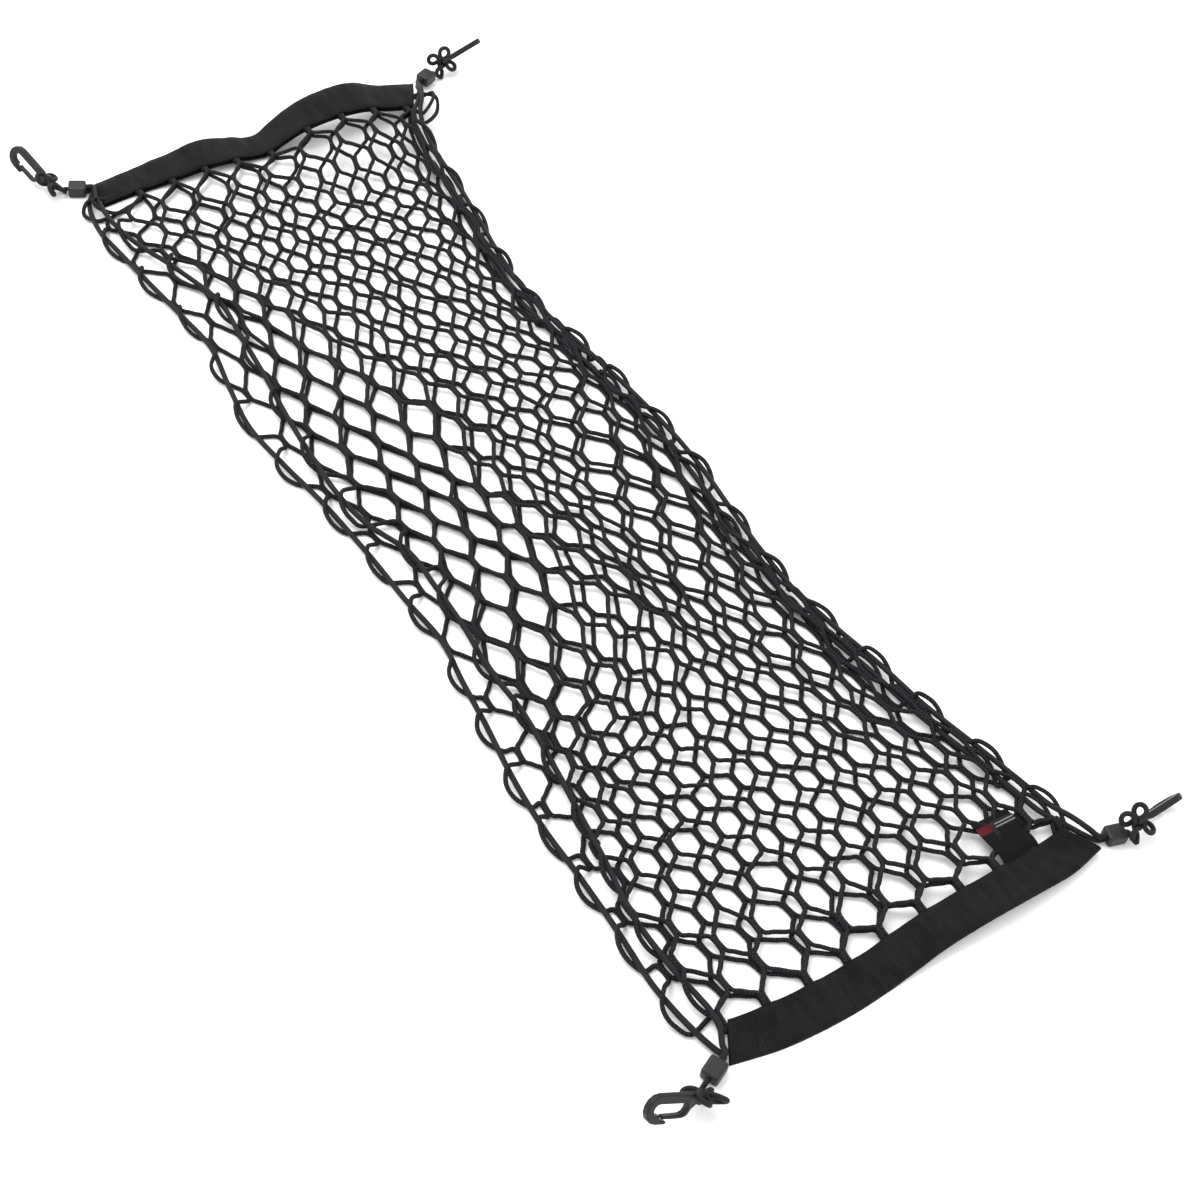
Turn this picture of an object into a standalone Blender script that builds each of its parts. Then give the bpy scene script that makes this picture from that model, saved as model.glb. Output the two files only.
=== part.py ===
"""Envelope cargo net lying on a level surface.

Two layers of knotless netting lie one on the other.  Their short ends are held in folded
webbing bindings, an elastic cord runs through the edge meshes of each long edge of each
layer, and every corner has a bead, a cord knot and a one-piece snap hook.
The tables are in millimetres on a plan whose origin is the near left corner: x runs to the
right, y along the length to the far end, z up from the surface that the net lies on.
"""

import math

import bmesh
import bpy
from mathutils import Vector

MM = 0.001
CENTRE_X = 151.4  # the middle of the whole object on the plan, mm
CENTRE_Y = 438.5

# ---- netting --------------------------------------------------------------------------
COLUMNS = 7  # joints across an even row
ROWS = 20  # row spacings along the length
ROW_FIRST_Y = 14.0
ROW_PITCH = 41.3
BLEND_ROWS = 2  # rows by a binding where both layers have the same columns
JOINT_HALF = 6.0  # a joint is two strands side by side over this distance each way
JOINT_WIDTH = 5.0
LEG_WIDTH = 3.0
TWINE_HALF = 1.2  # half the thickness of the netting
STUB_HALF = 0.8  # half its thickness where it is pressed inside a binding
LOWER_Z = 1.2
UPPER_Z = 4.1
LOWER_STUB_Z = 2.3
UPPER_STUB_Z = 4.25
STUB_DEPTH = 15.0  # how far the netting reaches into a binding
STUB_OUT = 1.5
BAND_JOINT_OUT = 7.0
NEAR_FIRST_X = 24.0
NEAR_COLUMN = 40.7
FAR_FIRST_X = 20.0
FAR_COLUMN = 40.2
RAMP = 79.0  # distance over which the netting comes down from a raised binding
RAMP_SOFT = 0.1  # share of that distance over which its foot is rounded
NEARLY_STRAIGHT = 0.3  # sine of the bend up to which two strands share one corner

# ---- edge meshes around a cord ----------------------------------------------------------
LOOP_OUT = 5.0  # how far an edge mesh stands outside its cord, and inside it
LOOP_IN = 5.0
LOOP_FOOT = 9.5  # distance of that foot from its cord
LOOP_STEP = 4.0
LOOP_FOOT_STEPS = 4.4  # steps from the middle of an edge mesh to its foot
CORD_RADIUS = 1.9
LOWER_CORD_Z = 4.95
UPPER_CORD_Z = 7.95
OVER_RISE = 4.5  # from the middle of the cord to the middle of the strand over it
SIDE_RISE = 1.95

# ---- bindings ---------------------------------------------------------------------------
BAND_PLY = 0.9
BAND_SLOT = 4.8
BAND_NOSE = 1.6
BAND_STATIONS = 17
BAND_WIDTH = 27.0  # usual width from the inner edge to the fold

# Near binding: its inner edge (in) and its folded outer edge (out), left to right.
NEAR_BAND = (
    # x_in, y_in, z_in, x_out, y_out, z_out
    (16.5, 17.0, 0.0, 2.5, -5.5, 0.0),
    (36.0, 14.5, 0.0, 33.0, -12.0, 0.0),
    (60.0, 12.5, 0.0, 60.0, -14.5, 0.0),
    (88.0, 12.0, 0.0, 88.0, -15.0, 0.0),
    (114.0, 13.0, 0.0, 114.0, -13.5, 0.0),
    (136.0, 14.5, 2.5, 136.0, -12.0, 3.5),
    (156.0, 15.5, 5.0, 156.0, -10.5, 6.5),
    (182.0, 16.0, 6.5, 182.0, -10.0, 9.0),
    (210.0, 16.3, 7.0, 210.0, -10.0, 10.0),
    (235.0, 17.0, 6.0, 236.0, -9.5, 8.5),
    (258.0, 18.5, 4.0, 264.0, -8.0, 5.5),
    (278.5, 20.5, 3.5, 292.0, -2.5, 4.5),
)
# Far binding, in the same way: it stands in two arches with a low place between them.
FAR_BAND = (
    # x_in, y_in, z_in, x_out, y_out, z_out
    (4.0, 833.0, 0.5, 6.0, 859.0, 1.5),
    (30.0, 836.5, 0.5, 30.0, 863.5, 2.0),
    (60.0, 837.0, 2.0, 60.0, 865.5, 5.0),
    (94.0, 837.0, 5.0, 94.0, 866.0, 10.5),
    (118.0, 836.5, 4.0, 118.0, 864.5, 7.0),
    (142.0, 836.0, 2.0, 142.0, 864.0, 2.0),
    (158.0, 836.0, 9.0, 158.0, 865.0, 10.0),
    (174.0, 836.0, 15.0, 174.0, 866.0, 18.0),
    (194.0, 836.5, 18.0, 194.0, 866.5, 24.0),
    (215.0, 837.0, 18.5, 215.0, 867.0, 26.0),
    (234.0, 836.5, 17.0, 235.0, 867.0, 24.0),
    (254.0, 835.0, 12.5, 260.0, 865.5, 15.0),
    (274.0, 832.5, 10.0, 290.0, 861.5, 11.0),
)

# Where the four edge cords run, from near to far.
CORD_ROUTE = (
    # y, left_outer, left_inner, right_lower, right_upper
    (38.0, -7.5, 8.5, 281.5, 272.5),
    (60.0, -9.0, 6.0, 278.0, 268.0),
    (100.0, -7.0, 5.5, 271.0, 261.0),
    (140.0, -6.5, 12.0, 262.0, 252.0),
    (180.0, -7.0, 17.5, 257.5, 247.5),
    (220.0, -4.0, 23.0, 250.5, 240.5),
    (260.0, 2.0, 27.0, 245.0, 235.0),
    (300.0, 7.0, 26.0, 246.0, 236.0),
    (335.0, 12.0, 29.5, 249.0, 239.0),
    (375.0, 8.5, 30.5, 254.0, 244.0),
    (410.0, 7.0, 30.0, 256.0, 246.0),
    (445.0, 4.5, 17.5, 255.0, 245.0),
    (480.0, 1.0, 13.0, 252.5, 242.5),
    (525.0, -6.0, 14.5, 247.0, 237.0),
    (565.0, -10.0, 17.5, 242.0, 232.0),
    (605.0, -5.0, 22.0, 240.0, 230.0),
    (650.0, 2.0, 25.5, 245.0, 235.0),
    (690.0, -2.0, 28.0, 252.0, 242.0),
    (735.0, -8.0, 16.5, 259.0, 249.0),
    (775.0, -13.0, 2.0, 262.0, 252.0),
    (800.0, -16.0, -3.5, 266.0, 255.5),
    (821.0, -14.0, -4.6, 273.5, 263.5),
)
# Where the cords leave the netting and come round the end of a binding to their bead.
CORD_ENDS = (
    # cord, end, x, y, z
    ("left_outer", "near", 0.4, 5.0, 2.8),
    ("left_outer", "near", -2.4, 13.0, 3.8),
    ("left_outer", "near", -5.0, 24.0, 4.6),
    ("left_inner", "near", 3.6, 4.6, 7.0),
    ("left_inner", "near", 8.4, 14.0, 7.4),
    ("left_inner", "near", 9.8, 25.0, 7.6),
    ("right_lower", "near", 292.0, 11.5, 5.0),
    ("right_lower", "near", 287.5, 23.0, 7.2),
    ("right_upper", "near", 289.5, 10.5, 9.6),
    ("right_upper", "near", 281.5, 23.5, 10.8),
    ("left_outer", "far", -9.5, 837.0, 4.6),
    ("left_outer", "far", -2.8, 847.5, 3.2),
    ("left_inner", "far", -3.6, 835.0, 7.8),
    ("left_inner", "far", -1.0, 845.5, 7.2),
    ("right_lower", "far", 282.5, 834.5, 13.4),
    ("right_lower", "far", 291.5, 852.0, 10.0),
    ("right_upper", "far", 279.4, 835.5, 18.2),
    ("right_upper", "far", 290.8, 853.0, 14.5),
)
CORD_BEAD_GAP = 1.0
CORD_BEAD_LEAD = 4.5  # straight run of a cord before its bead
CORD_BEAD_RISE = 2.15  # one cord enters the bead below the other
CORD_BEADS = (
    # cord, near bead, far bead, side of the bead's middle that it enters
    ("left_outer", "near_left", "far_left", -1.0),
    ("left_inner", "near_left", "far_left", 1.0),
    ("right_lower", "near_right", "far_right", -1.0),
    ("right_upper", "near_right", "far_right", 1.0),
)
CORD_POINTS = 48
CORD_BUNCH = 0.62  # how much closer the points lie at the two ends of a cord
CORD_SIDES = 8

# ---- corner fittings --------------------------------------------------------------------
CRIMP_LENGTH = 13.5
CRIMP_WIDTH = 12.0
CRIMP_HEIGHT = 9.0
CRIMP_ROUND = 1.6
FIT_GAP = 0.3
KNOT_TURN = 6.95  # the knot runs round its middle once in a circle of this radius,
KNOT_LOBES = 4.05  # with this radius turning back three times, which makes four lobes,
KNOT_ROUND = 1.0  # and this one turning back seven times, which opens the lobes
KNOT_WAVE = 2.2  # height that keeps the strands apart where they cross
KNOT_TILT = -10.0  # degrees that the wreath turns about the hook
KNOT_RADIUS = 1.4
KNOT_POINTS = 36
KNOT_ENTRY = 0.22  # where the strand from the bead joins a lobe, in radians from its tip
KNOT_END = 0.12  # where the strand ends short of that
STEM_LEAD = 2.0
HOOK_EYE_AHEAD = KNOT_TURN - KNOT_LOBES + KNOT_ROUND  # the strand through the eye

CORNERS = (
    # corner, bead x, y, z, heading, hook eye x, y, z, azimuth, elevation, roll
    ("near_left", -8.6, -5.2, 4.7, -155.5, -28.1, -17.5, 13.4, 169.4, 29.7, -60.0),
    ("far_left", -10.2, 857.8, 4.7, 155.1, -28.8, 867.3, 11.6, 106.7, 21.8, -68.0),
    ("far_right", 307.6, 870.6, 7.2, 24.3, 330.0, 878.0, 12.7, 6.4, 12.6, -46.0),
    ("near_right", 307.6, 1.1, 4.7, -15.8, 322.4, -3.0, 14.6, 2.6, 1.5, -66.0),
)

# Hook outline in its own plane: x from the middle of the eye to the tip, y to the back.
HOOK_HALF = 2.25
HOOK_EYE_HALF = 1.45
HOOK_CHAMFER = 0.5
EYE_OUTER = 4.8
EYE_HOLE = 2.6
EYE_SIDES = 16
EYE_HIDDEN = 5  # sides of the eye that are inside the neck
EYE_START = -55.0  # degrees: where the web leaves the eye, and then where the back leaves it
EYE_END = 33.5
BAR_HALF = 2.65
TIP_X = 39.5
TIP_OUTER = 8.75
TIP_INNER = 3.45
# Outline from the web along the tongue and back to the bar, before the round inside the head.
HOOK_INSIDE = (
    # part, x, y
    ("web", 9.5, -10.8),
    ("web", 12.0, -11.6),
    ("tongue outside", 20.0, -11.9),
    ("tongue end", 26.6, -11.7),
    ("tongue end", 26.4, -10.0),
    ("tongue inside", 20.0, -9.9),
    ("tongue inside", 13.0, -9.6),
    ("throat", 10.6, -8.4),
    ("throat", 9.6, -6.2),
    ("throat", 9.8, -4.0),
    ("bar", 11.0, -BAR_HALF),
)
# The nose, between the round inside the head and the round outside it.
HOOK_NOSE = (
    # part, x, y
    ("inside", 28.6, -9.6),
    ("inside", 28.4, -12.1),
    ("point", 22.6, -13.2),
    ("point", 23.6, -14.85),
)
HEAD_INNER_ANGLES = (90, 60, 30, 0, -30, -60, -90)
HEAD_OUTER_ANGLES = (-90, -65, -40, -15, 10, 35, 62, 90)
NECK_WEB = ((6.0, -7.2), (8.0, -9.3))  # x, y of the web's side of the neck, then the back's
NECK_BACK = ((8.0, BAR_HALF), (6.0, BAR_HALF))

# ---- label ------------------------------------------------------------------------------
LABEL = (
    # y, z of its middle over the surface
    (19.3, 6.6),
    (30.0, 6.4),
    (49.5, 6.2),
)
LABEL_LEFT = 226.0
LABEL_RIGHT = 256.0
LABEL_HALF = 0.55


# ---- small helpers ----------------------------------------------------------------------
def spline(xs, ys, x):
    """A smooth curve through the points (xs, ys), straight beyond its ends."""
    count = len(xs)
    i = 0
    while i < count - 2 and x > xs[i + 1]:
        i += 1
    span = xs[i + 1] - xs[i]
    before = max(i - 1, 0)
    after = min(i + 2, count - 1)
    slope0 = (ys[i + 1] - ys[before]) / (xs[i + 1] - xs[before])
    slope1 = (ys[after] - ys[i]) / (xs[after] - xs[i])
    t = (x - xs[i]) / span
    if t < 0.0:
        return ys[i] + slope0 * (x - xs[i])
    if t > 1.0:
        return ys[i + 1] + slope1 * (x - xs[i + 1])
    h00 = 2 * t**3 - 3 * t**2 + 1
    h10 = t**3 - 2 * t**2 + t
    h01 = 3 * t**2 - 2 * t**3
    h11 = t**3 - t**2
    return h00 * ys[i] + h10 * span * slope0 + h01 * ys[i + 1] + h11 * span * slope1


def column(table, index):
    """One column of a table as a list."""
    return [row[index] for row in table]


def band_stations(table):
    """Stations of a binding at even steps, each row (x_in, y_in, z_in, x_out, y_out, z_out)."""
    spots = list(range(len(table)))
    last = len(table) - 1
    stations = []
    for i in range(BAND_STATIONS):
        t = last * i / (BAND_STATIONS - 1)
        station = [spline(spots, column(table, j), t) for j in range(6)]
        station[2] = max(station[2], 0.0)
        station[5] = max(station[5], 0.0)
        stations.append(station)
    return stations


NEAR_STATIONS = band_stations(NEAR_BAND)
FAR_STATIONS = band_stations(FAR_BAND)


def straight(xs, ys, x):
    """Straight-line value of a table, level beyond its ends."""
    if x <= xs[0]:
        return ys[0]
    for i in range(len(xs) - 1):
        if x <= xs[i + 1]:
            return ys[i] + (ys[i + 1] - ys[i]) * (x - xs[i]) / (xs[i + 1] - xs[i])
    return ys[-1]


def band_height(stations, x, y):
    """Height of a binding's underside at (x, y), and the distance inwards from its edge."""
    depth = 0.0
    for _ in range(3):
        along = [s[0] + (s[3] - s[0]) * depth for s in stations]
        y_in = straight(along, column(stations, 1), x)
        y_out = straight(along, column(stations, 4), x)
        depth = min(max((y - y_in) / (y_out - y_in), 0.0), 1.0)
    z_in = straight(along, column(stations, 2), x)
    z_out = straight(along, column(stations, 5), x)
    clear = (y - y_in) if y_in > y_out else (y_in - y)
    return z_in + (z_out - z_in) * depth, max(clear, 0.0)


def ramp(distance):
    """From 1 at a binding's edge evenly down to 0, with a softened foot."""
    t = 1.0 - distance / RAMP
    if t <= -RAMP_SOFT:
        return 0.0
    if t < RAMP_SOFT:
        return (t + RAMP_SOFT) ** 2 / (4.0 * RAMP_SOFT)
    return t


def lift(x, y):
    """Height of the object's underside over the surface at (x, y)."""
    stations = NEAR_STATIONS if y < CENTRE_Y else FAR_STATIONS
    height, distance = band_height(stations, x, y)
    return height * ramp(distance)


def to_row(point):
    """A plan point in mm as a vector in metres about the middle of the object."""
    x, y, z = point
    return Vector(((x - CENTRE_X) * MM, (y - CENTRE_Y) * MM, z * MM))


def add_mesh(name, points, faces, smooth=False):
    """A mesh object of plan points in mm, its faces turned outwards."""
    mesh = bpy.data.meshes.new(name)
    mesh.from_pydata([to_row(p) for p in points], [], faces)
    work = bmesh.new()
    work.from_mesh(mesh)
    bmesh.ops.recalc_face_normals(work, faces=work.faces)
    bmesh.ops.triangulate(work, faces=[f for f in work.faces if len(f.verts) > 4])
    work.to_mesh(mesh)
    work.free()
    for polygon in mesh.polygons:
        polygon.use_smooth = smooth
    item = bpy.data.objects.new(name, mesh)
    bpy.context.scene.collection.objects.link(item)
    return item


def add_curve(name, points, radius):
    """A round cord of the given radius through plan points in mm."""
    data = bpy.data.curves.new(name, "CURVE")
    data.dimensions = "3D"
    data.bevel_depth = radius * MM
    data.bevel_resolution = 2
    data.use_fill_caps = True
    line = data.splines.new("POLY")
    line.points.add(len(points) - 1)
    for slot, point in zip(line.points, points):
        slot.co = (*to_row(point), 1.0)
    line.use_smooth = True
    item = bpy.data.objects.new(name, data)
    bpy.context.scene.collection.objects.link(item)
    return item


def material(name, colour, roughness, metallic=0.0):
    """A Principled material."""
    made = bpy.data.materials.new(name)
    made.use_nodes = True
    shader = made.node_tree.nodes["Principled BSDF"]
    shader.inputs["Base Color"].default_value = (*colour, 1.0)
    shader.inputs["Roughness"].default_value = roughness
    shader.inputs["Metallic"].default_value = metallic
    made.diffuse_color = (*colour, 1.0)
    return made


# ---- cords ------------------------------------------------------------------------------
CORD_COLUMNS = {"left_outer": 1, "left_inner": 2, "right_lower": 3, "right_upper": 4}


def cord_x(cord, y):
    """Plan x of a cord where it runs through the netting."""
    return spline(column(CORD_ROUTE, 0), column(CORD_ROUTE, CORD_COLUMNS[cord]), y)


def bead_entry(corner, side):
    """The last two points of a cord at the back of a bead, the end first."""
    _, x, y, z, heading = next(row for row in CORNERS if row[0] == corner)[:5]
    ahead = (math.cos(math.radians(heading)), math.sin(math.radians(heading)))
    points = []
    for run in (CORD_BEAD_GAP, CORD_BEAD_GAP + CORD_BEAD_LEAD):
        back = CRIMP_LENGTH / 2.0 + run
        points.append((x - ahead[0] * back, y - ahead[1] * back, z + side * CORD_BEAD_RISE))
    return points


def cord_line(cord, height):
    """Points along the whole of a cord in mm, closest together at its two ends."""
    near = [row[2:] for row in CORD_ENDS if row[:2] == (cord, "near")]
    far = [row[2:] for row in CORD_ENDS if row[:2] == (cord, "far")]
    _, near_bead, far_bead, side = next(row for row in CORD_BEADS if row[0] == cord)
    near = bead_entry(near_bead, side) + near
    far = far + bead_entry(far_bead, side)[::-1]
    middle = []
    for row in CORD_ROUTE:
        y = row[0]
        x = row[CORD_COLUMNS[cord]]
        middle.append((x, y, lift(x, y) + height))
    knots = [Vector(p) for p in near + middle + far]
    spots = [0.0]
    for a, b in zip(knots, knots[1:]):
        spots.append(spots[-1] + (b - a).length)
    line = []
    for i in range(CORD_POINTS):
        t = i / (CORD_POINTS - 1)
        bend = t - CORD_BUNCH * math.sin(2.0 * math.pi * t) / (2.0 * math.pi)
        s = spots[-1] * bend
        line.append(tuple(spline(spots, [k[axis] for k in knots], s) for axis in range(3)))
    return line


# ---- netting ----------------------------------------------------------------------------
class Lattice:
    """A flat network of strands that becomes one closed mesh."""

    def __init__(self):
        self.nodes = {}
        self.links = {}
        self.widths = {}

    def node(self, key, x, y, z, half=TWINE_HALF):
        """A node at plan (x, y) whose middle is z over the underside of the object."""
        self.nodes[key] = (x, y, z, half)
        self.links.setdefault(key, [])

    def link(self, a, b, width=LEG_WIDTH):
        """A strand between two nodes."""
        self.links[a].append(b)
        self.links[b].append(a)
        self.widths[(a, b)] = width
        self.widths[(b, a)] = width

    def corners(self, key):
        """The corner between each neighbour and the next one round the node."""
        x, y, _, _ = self.nodes[key]
        spokes = []
        for other in self.links[key]:
            dx = self.nodes[other][0] - x
            dy = self.nodes[other][1] - y
            size = math.hypot(dx, dy)
            spokes.append((math.atan2(dy, dx), dx / size, dy / size, other))
        spokes.sort()
        found = []
        for i, (angle, ux, uy, other) in enumerate(spokes):
            half = self.widths[(key, other)] / 2.0
            if len(spokes) == 1:
                found.append((other, (x - uy * half, y + ux * half)))
                found.append((other, (x + uy * half, y - ux * half)))
                break
            _, vx, vy, after = spokes[(i + 1) % len(spokes)]
            half_after = self.widths[(key, after)] / 2.0
            turn = ux * vy - uy * vx
            if abs(turn) < NEARLY_STRAIGHT and ux * vx + uy * vy < 0.0:
                mean = (half + half_after) / 2.0
                nx, ny = -uy + vy, ux - vx
                size = math.hypot(nx, ny)
                corner = (x + nx / size * mean, y + ny / size * mean)
            else:
                corner = (
                    x + (half_after * ux + half * vx) / turn,
                    y + (half_after * uy + half * vy) / turn,
                )
            found.append((other, corner))
        return found

    def build(self, name):
        """The closed mesh object of the network."""
        points = []
        faces = []
        left = {}
        right = {}
        for key in self.nodes:
            _, _, z, half = self.nodes[key]
            found = self.corners(key)
            slots = []
            for _, (cx, cy) in found:
                base = lift(cx, cy)
                slots.append(len(points))
                points.append((cx, cy, base + z + half))
                points.append((cx, cy, base + z - half))
            if len(self.links[key]) == 1:
                other = self.links[key][0]
                left[(key, other)] = slots[0]
                right[(key, other)] = slots[1]
                faces.append((slots[0], slots[0] + 1, slots[1] + 1, slots[1]))
                continue
            for i, (other, _) in enumerate(found):
                left[(key, other)] = slots[i]
                right[(key, other)] = slots[i - 1]
            if len(slots) > 2:
                faces.append(tuple(slots))
                faces.append(tuple(s + 1 for s in reversed(slots)))
        done = set()
        for a, b in self.widths:
            if (b, a) in done:
                continue
            done.add((a, b))
            la, ra = left[(a, b)], right[(a, b)]
            lb, rb = right[(b, a)], left[(b, a)]
            faces.append((la, ra, rb))
            faces.append((la, rb, lb))
            faces.append((la + 1, rb + 1, ra + 1))
            faces.append((la + 1, lb + 1, rb + 1))
            faces.append((la, lb, lb + 1))
            faces.append((la, lb + 1, la + 1))
            faces.append((ra, ra + 1, rb + 1))
            faces.append((ra, rb + 1, rb))
        return add_mesh(name, points, faces)


def edge_blend(y):
    """0 by the bindings, where both layers have the same columns, to 1 away from them."""
    shared = BLEND_ROWS * ROW_PITCH
    near = (y - ROW_FIRST_Y - shared) / shared
    far = (ROW_FIRST_Y + ROWS * ROW_PITCH - shared - y) / shared
    t = min(max(min(near, far), 0.0), 1.0)
    return t * t * (3.0 - 2.0 * t)


def column_x(spot, y, cords):
    """Plan x of the place spot (0 at the left edge, 1 at the right edge) of a layer."""
    share = edge_blend(y)
    left_mean = (cord_x("left_outer", y) + cord_x("left_inner", y)) / 2.0
    right_mean = (cord_x("right_lower", y) + cord_x("right_upper", y)) / 2.0
    left = left_mean + (cord_x(cords[0], y) - left_mean) * share
    right = right_mean + (cord_x(cords[1], y) - right_mean) * share
    return left + (right - left) * spot


def beside_cord(cord, y, away):
    """A plan point beside a cord: away is the distance from its middle, to the right."""
    slope = cord_x(cord, y + 1.0) - cord_x(cord, y - 1.0)
    size = math.hypot(slope, 2.0)
    return cord_x(cord, y) + away * 2.0 / size, y - away * slope / size


def edge_loop(net, row, y, cord, side, height, cord_z, deep):
    """Edge mesh of an odd row: one leg under the cord, out round it, and back over it."""
    start = (row, side, "under")
    turn = (row, side, "turn")
    over = (row, side, "over")
    inside = (row, side, "inside")
    out = -LOOP_OUT if side == "left" else LOOP_OUT
    back = LOOP_IN if side == "left" else -LOOP_IN
    foot_away = LOOP_FOOT if side == "left" else -LOOP_FOOT
    net.node(start, *beside_cord(cord, y - LOOP_STEP, out), height)
    net.node(turn, *beside_cord(cord, y + LOOP_STEP, out), cord_z + SIDE_RISE)
    net.node(over, *beside_cord(cord, y + 2 * LOOP_STEP, 0.0), cord_z + OVER_RISE)
    net.node(inside, *beside_cord(cord, y + 3 * LOOP_STEP, back), cord_z + SIDE_RISE)
    net.link(start, turn)
    net.link(turn, over)
    net.link(over, inside)
    if not deep:
        return start, inside
    foot = (row, side, "foot")
    net.node(foot, *beside_cord(cord, y + LOOP_FOOT_STEPS * LOOP_STEP, foot_away), height)
    net.link(inside, foot)
    return start, foot


def netting(name, cords, height, stub_z, cord_z, deep):
    """One layer of netting between the two bindings."""
    net = Lattice()
    lower_end = {}
    upper_end = {}
    for row in range(ROWS + 1):
        y = ROW_FIRST_Y + ROW_PITCH * row
        if row in (0, ROWS):
            sign = 1.0 if row == 0 else -1.0
            stations = NEAR_STATIONS if row == 0 else FAR_STATIONS
            first, pitch = (NEAR_FIRST_X, NEAR_COLUMN) if row == 0 else (FAR_FIRST_X, FAR_COLUMN)
            for c in range(COLUMNS):
                x = first + pitch * c
                y_in = straight(column(stations, 0), column(stations, 1), x)
                keys = [(row, c, part) for part in ("held", "edge", "end")]
                net.node(keys[0], x, y_in - sign * STUB_DEPTH, stub_z, STUB_HALF)
                net.node(keys[1], x, y_in + sign * STUB_OUT, stub_z, STUB_HALF)
                net.node(keys[2], x, y_in + sign * BAND_JOINT_OUT, height)
                net.link(keys[0], keys[1], JOINT_WIDTH)
                net.link(keys[1], keys[2], JOINT_WIDTH)
                lower_end[(row, 2 * c)] = keys[2]
                upper_end[(row, 2 * c)] = keys[2]
            continue
        odd = row % 2
        for c in range(COLUMNS - odd):
            place = 2 * c + odd
            x = column_x((place + 1.0) / (2.0 * COLUMNS), y, cords)
            net.node((row, place, "a"), x, y - JOINT_HALF, height)
            net.node((row, place, "b"), x, y + JOINT_HALF, height)
            net.link((row, place, "a"), (row, place, "b"), JOINT_WIDTH)
            lower_end[(row, place)] = (row, place, "a")
            upper_end[(row, place)] = (row, place, "b")
        if odd:
            for place, side, cord in ((-1, "left", cords[0]), (2 * COLUMNS - 1, "right", cords[1])):
                pair = edge_loop(net, row, y, cord, side, height, cord_z, deep)
                lower_end[(row, place)], upper_end[(row, place)] = pair
    for row in range(ROWS):
        for place in range(-1, 2 * COLUMNS):
            if (row, place) not in upper_end:
                continue
            for step in (-1, 1):
                if (row + 1, place + step) in lower_end:
                    net.link(upper_end[(row, place)], lower_end[(row + 1, place + step)])
    return net.build(name)


# ---- bindings ---------------------------------------------------------------------------
def band_section():
    """The folded webbing across its width: (0 at the inner edge to 1 at the fold, height)."""
    top = 2 * BAND_PLY + BAND_SLOT
    nose = BAND_NOSE / BAND_WIDTH
    inner = BAND_PLY / BAND_WIDTH
    return (
        (0.0, 0.0),
        (1.0 - nose, 0.0),
        (1.0 - nose / 3.0, top * 0.14),
        (1.0, top * 0.38),
        (1.0, top * 0.62),
        (1.0 - nose / 3.0, top * 0.86),
        (1.0 - nose, top),
        (0.0, top),
        (0.0, top - BAND_PLY),
        (1.0 - nose - inner, top - BAND_PLY),
        (1.0 - inner * 1.3, top * 0.62),
        (1.0 - inner * 1.3, top * 0.38),
        (1.0 - nose - inner, BAND_PLY),
        (0.0, BAND_PLY),
    )


def binding(name, stations):
    """A folded binding swept through its stations."""
    section = band_section()
    size = len(section)
    points = []
    faces = []
    for x_in, y_in, z_in, x_out, y_out, z_out in stations:
        for t, height in section:
            x = x_in + (x_out - x_in) * t
            y = y_in + (y_out - y_in) * t
            points.append((x, y, z_in + (z_out - z_in) * t + height))
    for i in range(len(stations) - 1):
        for j in range(size):
            a = i * size + j
            b = i * size + (j + 1) % size
            faces.append((a, b, b + size, a + size))
    # Each end is closed by quads between the outside and the inside of the fold.
    for base in (0, (len(stations) - 1) * size):
        for j in range(size // 2 - 1):
            faces.append((base + j, base + j + 1, base + size - 2 - j, base + size - 1 - j))
    return add_mesh(name, points, faces)


# ---- corner fittings --------------------------------------------------------------------
def crimp(name, centre, heading):
    """A square bead with rounded edges."""
    work = bmesh.new()
    bmesh.ops.create_cube(work, size=1.0)
    for vert in work.verts:
        vert.co.x *= CRIMP_LENGTH
        vert.co.y *= CRIMP_WIDTH
        vert.co.z *= CRIMP_HEIGHT
    bmesh.ops.bevel(
        work,
        geom=list(work.edges),
        offset=CRIMP_ROUND,
        segments=2,
        profile=0.5,
        affect="EDGES",
    )
    cosine = math.cos(math.radians(heading))
    sine = math.sin(math.radians(heading))
    points = []
    for vert in work.verts:
        x, y, z = vert.co
        points.append(
            (centre[0] + x * cosine - y * sine, centre[1] + x * sine + y * cosine, centre[2] + z)
        )
    faces = [tuple(v.index for v in face.verts) for face in work.faces]
    work.free()
    return add_mesh(name, points, faces)


def hook_axes(azimuth, elevation, roll):
    """Axes of a hook: along it, across it towards its back, and square to its plane."""
    az, el, ro = (math.radians(v) for v in (azimuth, elevation, roll))
    along = Vector((math.cos(el) * math.cos(az), math.cos(el) * math.sin(az), math.sin(el)))
    level = Vector((0.0, 0.0, 1.0)).cross(along).normalized()
    upright = along.cross(level)
    nose = level * math.cos(ro) + upright * math.sin(ro)
    return along, -nose, along.cross(-nose)


def swept_tube(points, radius, sides, square):
    """Rings round an open line; square is a direction that is never along the line."""
    count = len(points)
    rings = []
    for i, point in enumerate(points):
        run = points[min(i + 1, count - 1)] - points[max(i - 1, 0)]
        side = run.cross(square).normalized()
        other = side.cross(run).normalized()
        for j in range(sides):
            angle = 2.0 * math.pi * (j + 0.5) / sides
            rings.append(point + (side * math.cos(angle) + other * math.sin(angle)) * radius)
    faces = []
    for i in range(count - 1):
        for j in range(sides):
            a = i * sides + j
            b = i * sides + (j + 1) % sides
            faces.append((a, b, b + sides, a + sides))
    faces.append(tuple(range(sides)))
    faces.append(tuple((count - 1) * sides + j for j in range(sides)))
    return rings, faces


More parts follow.
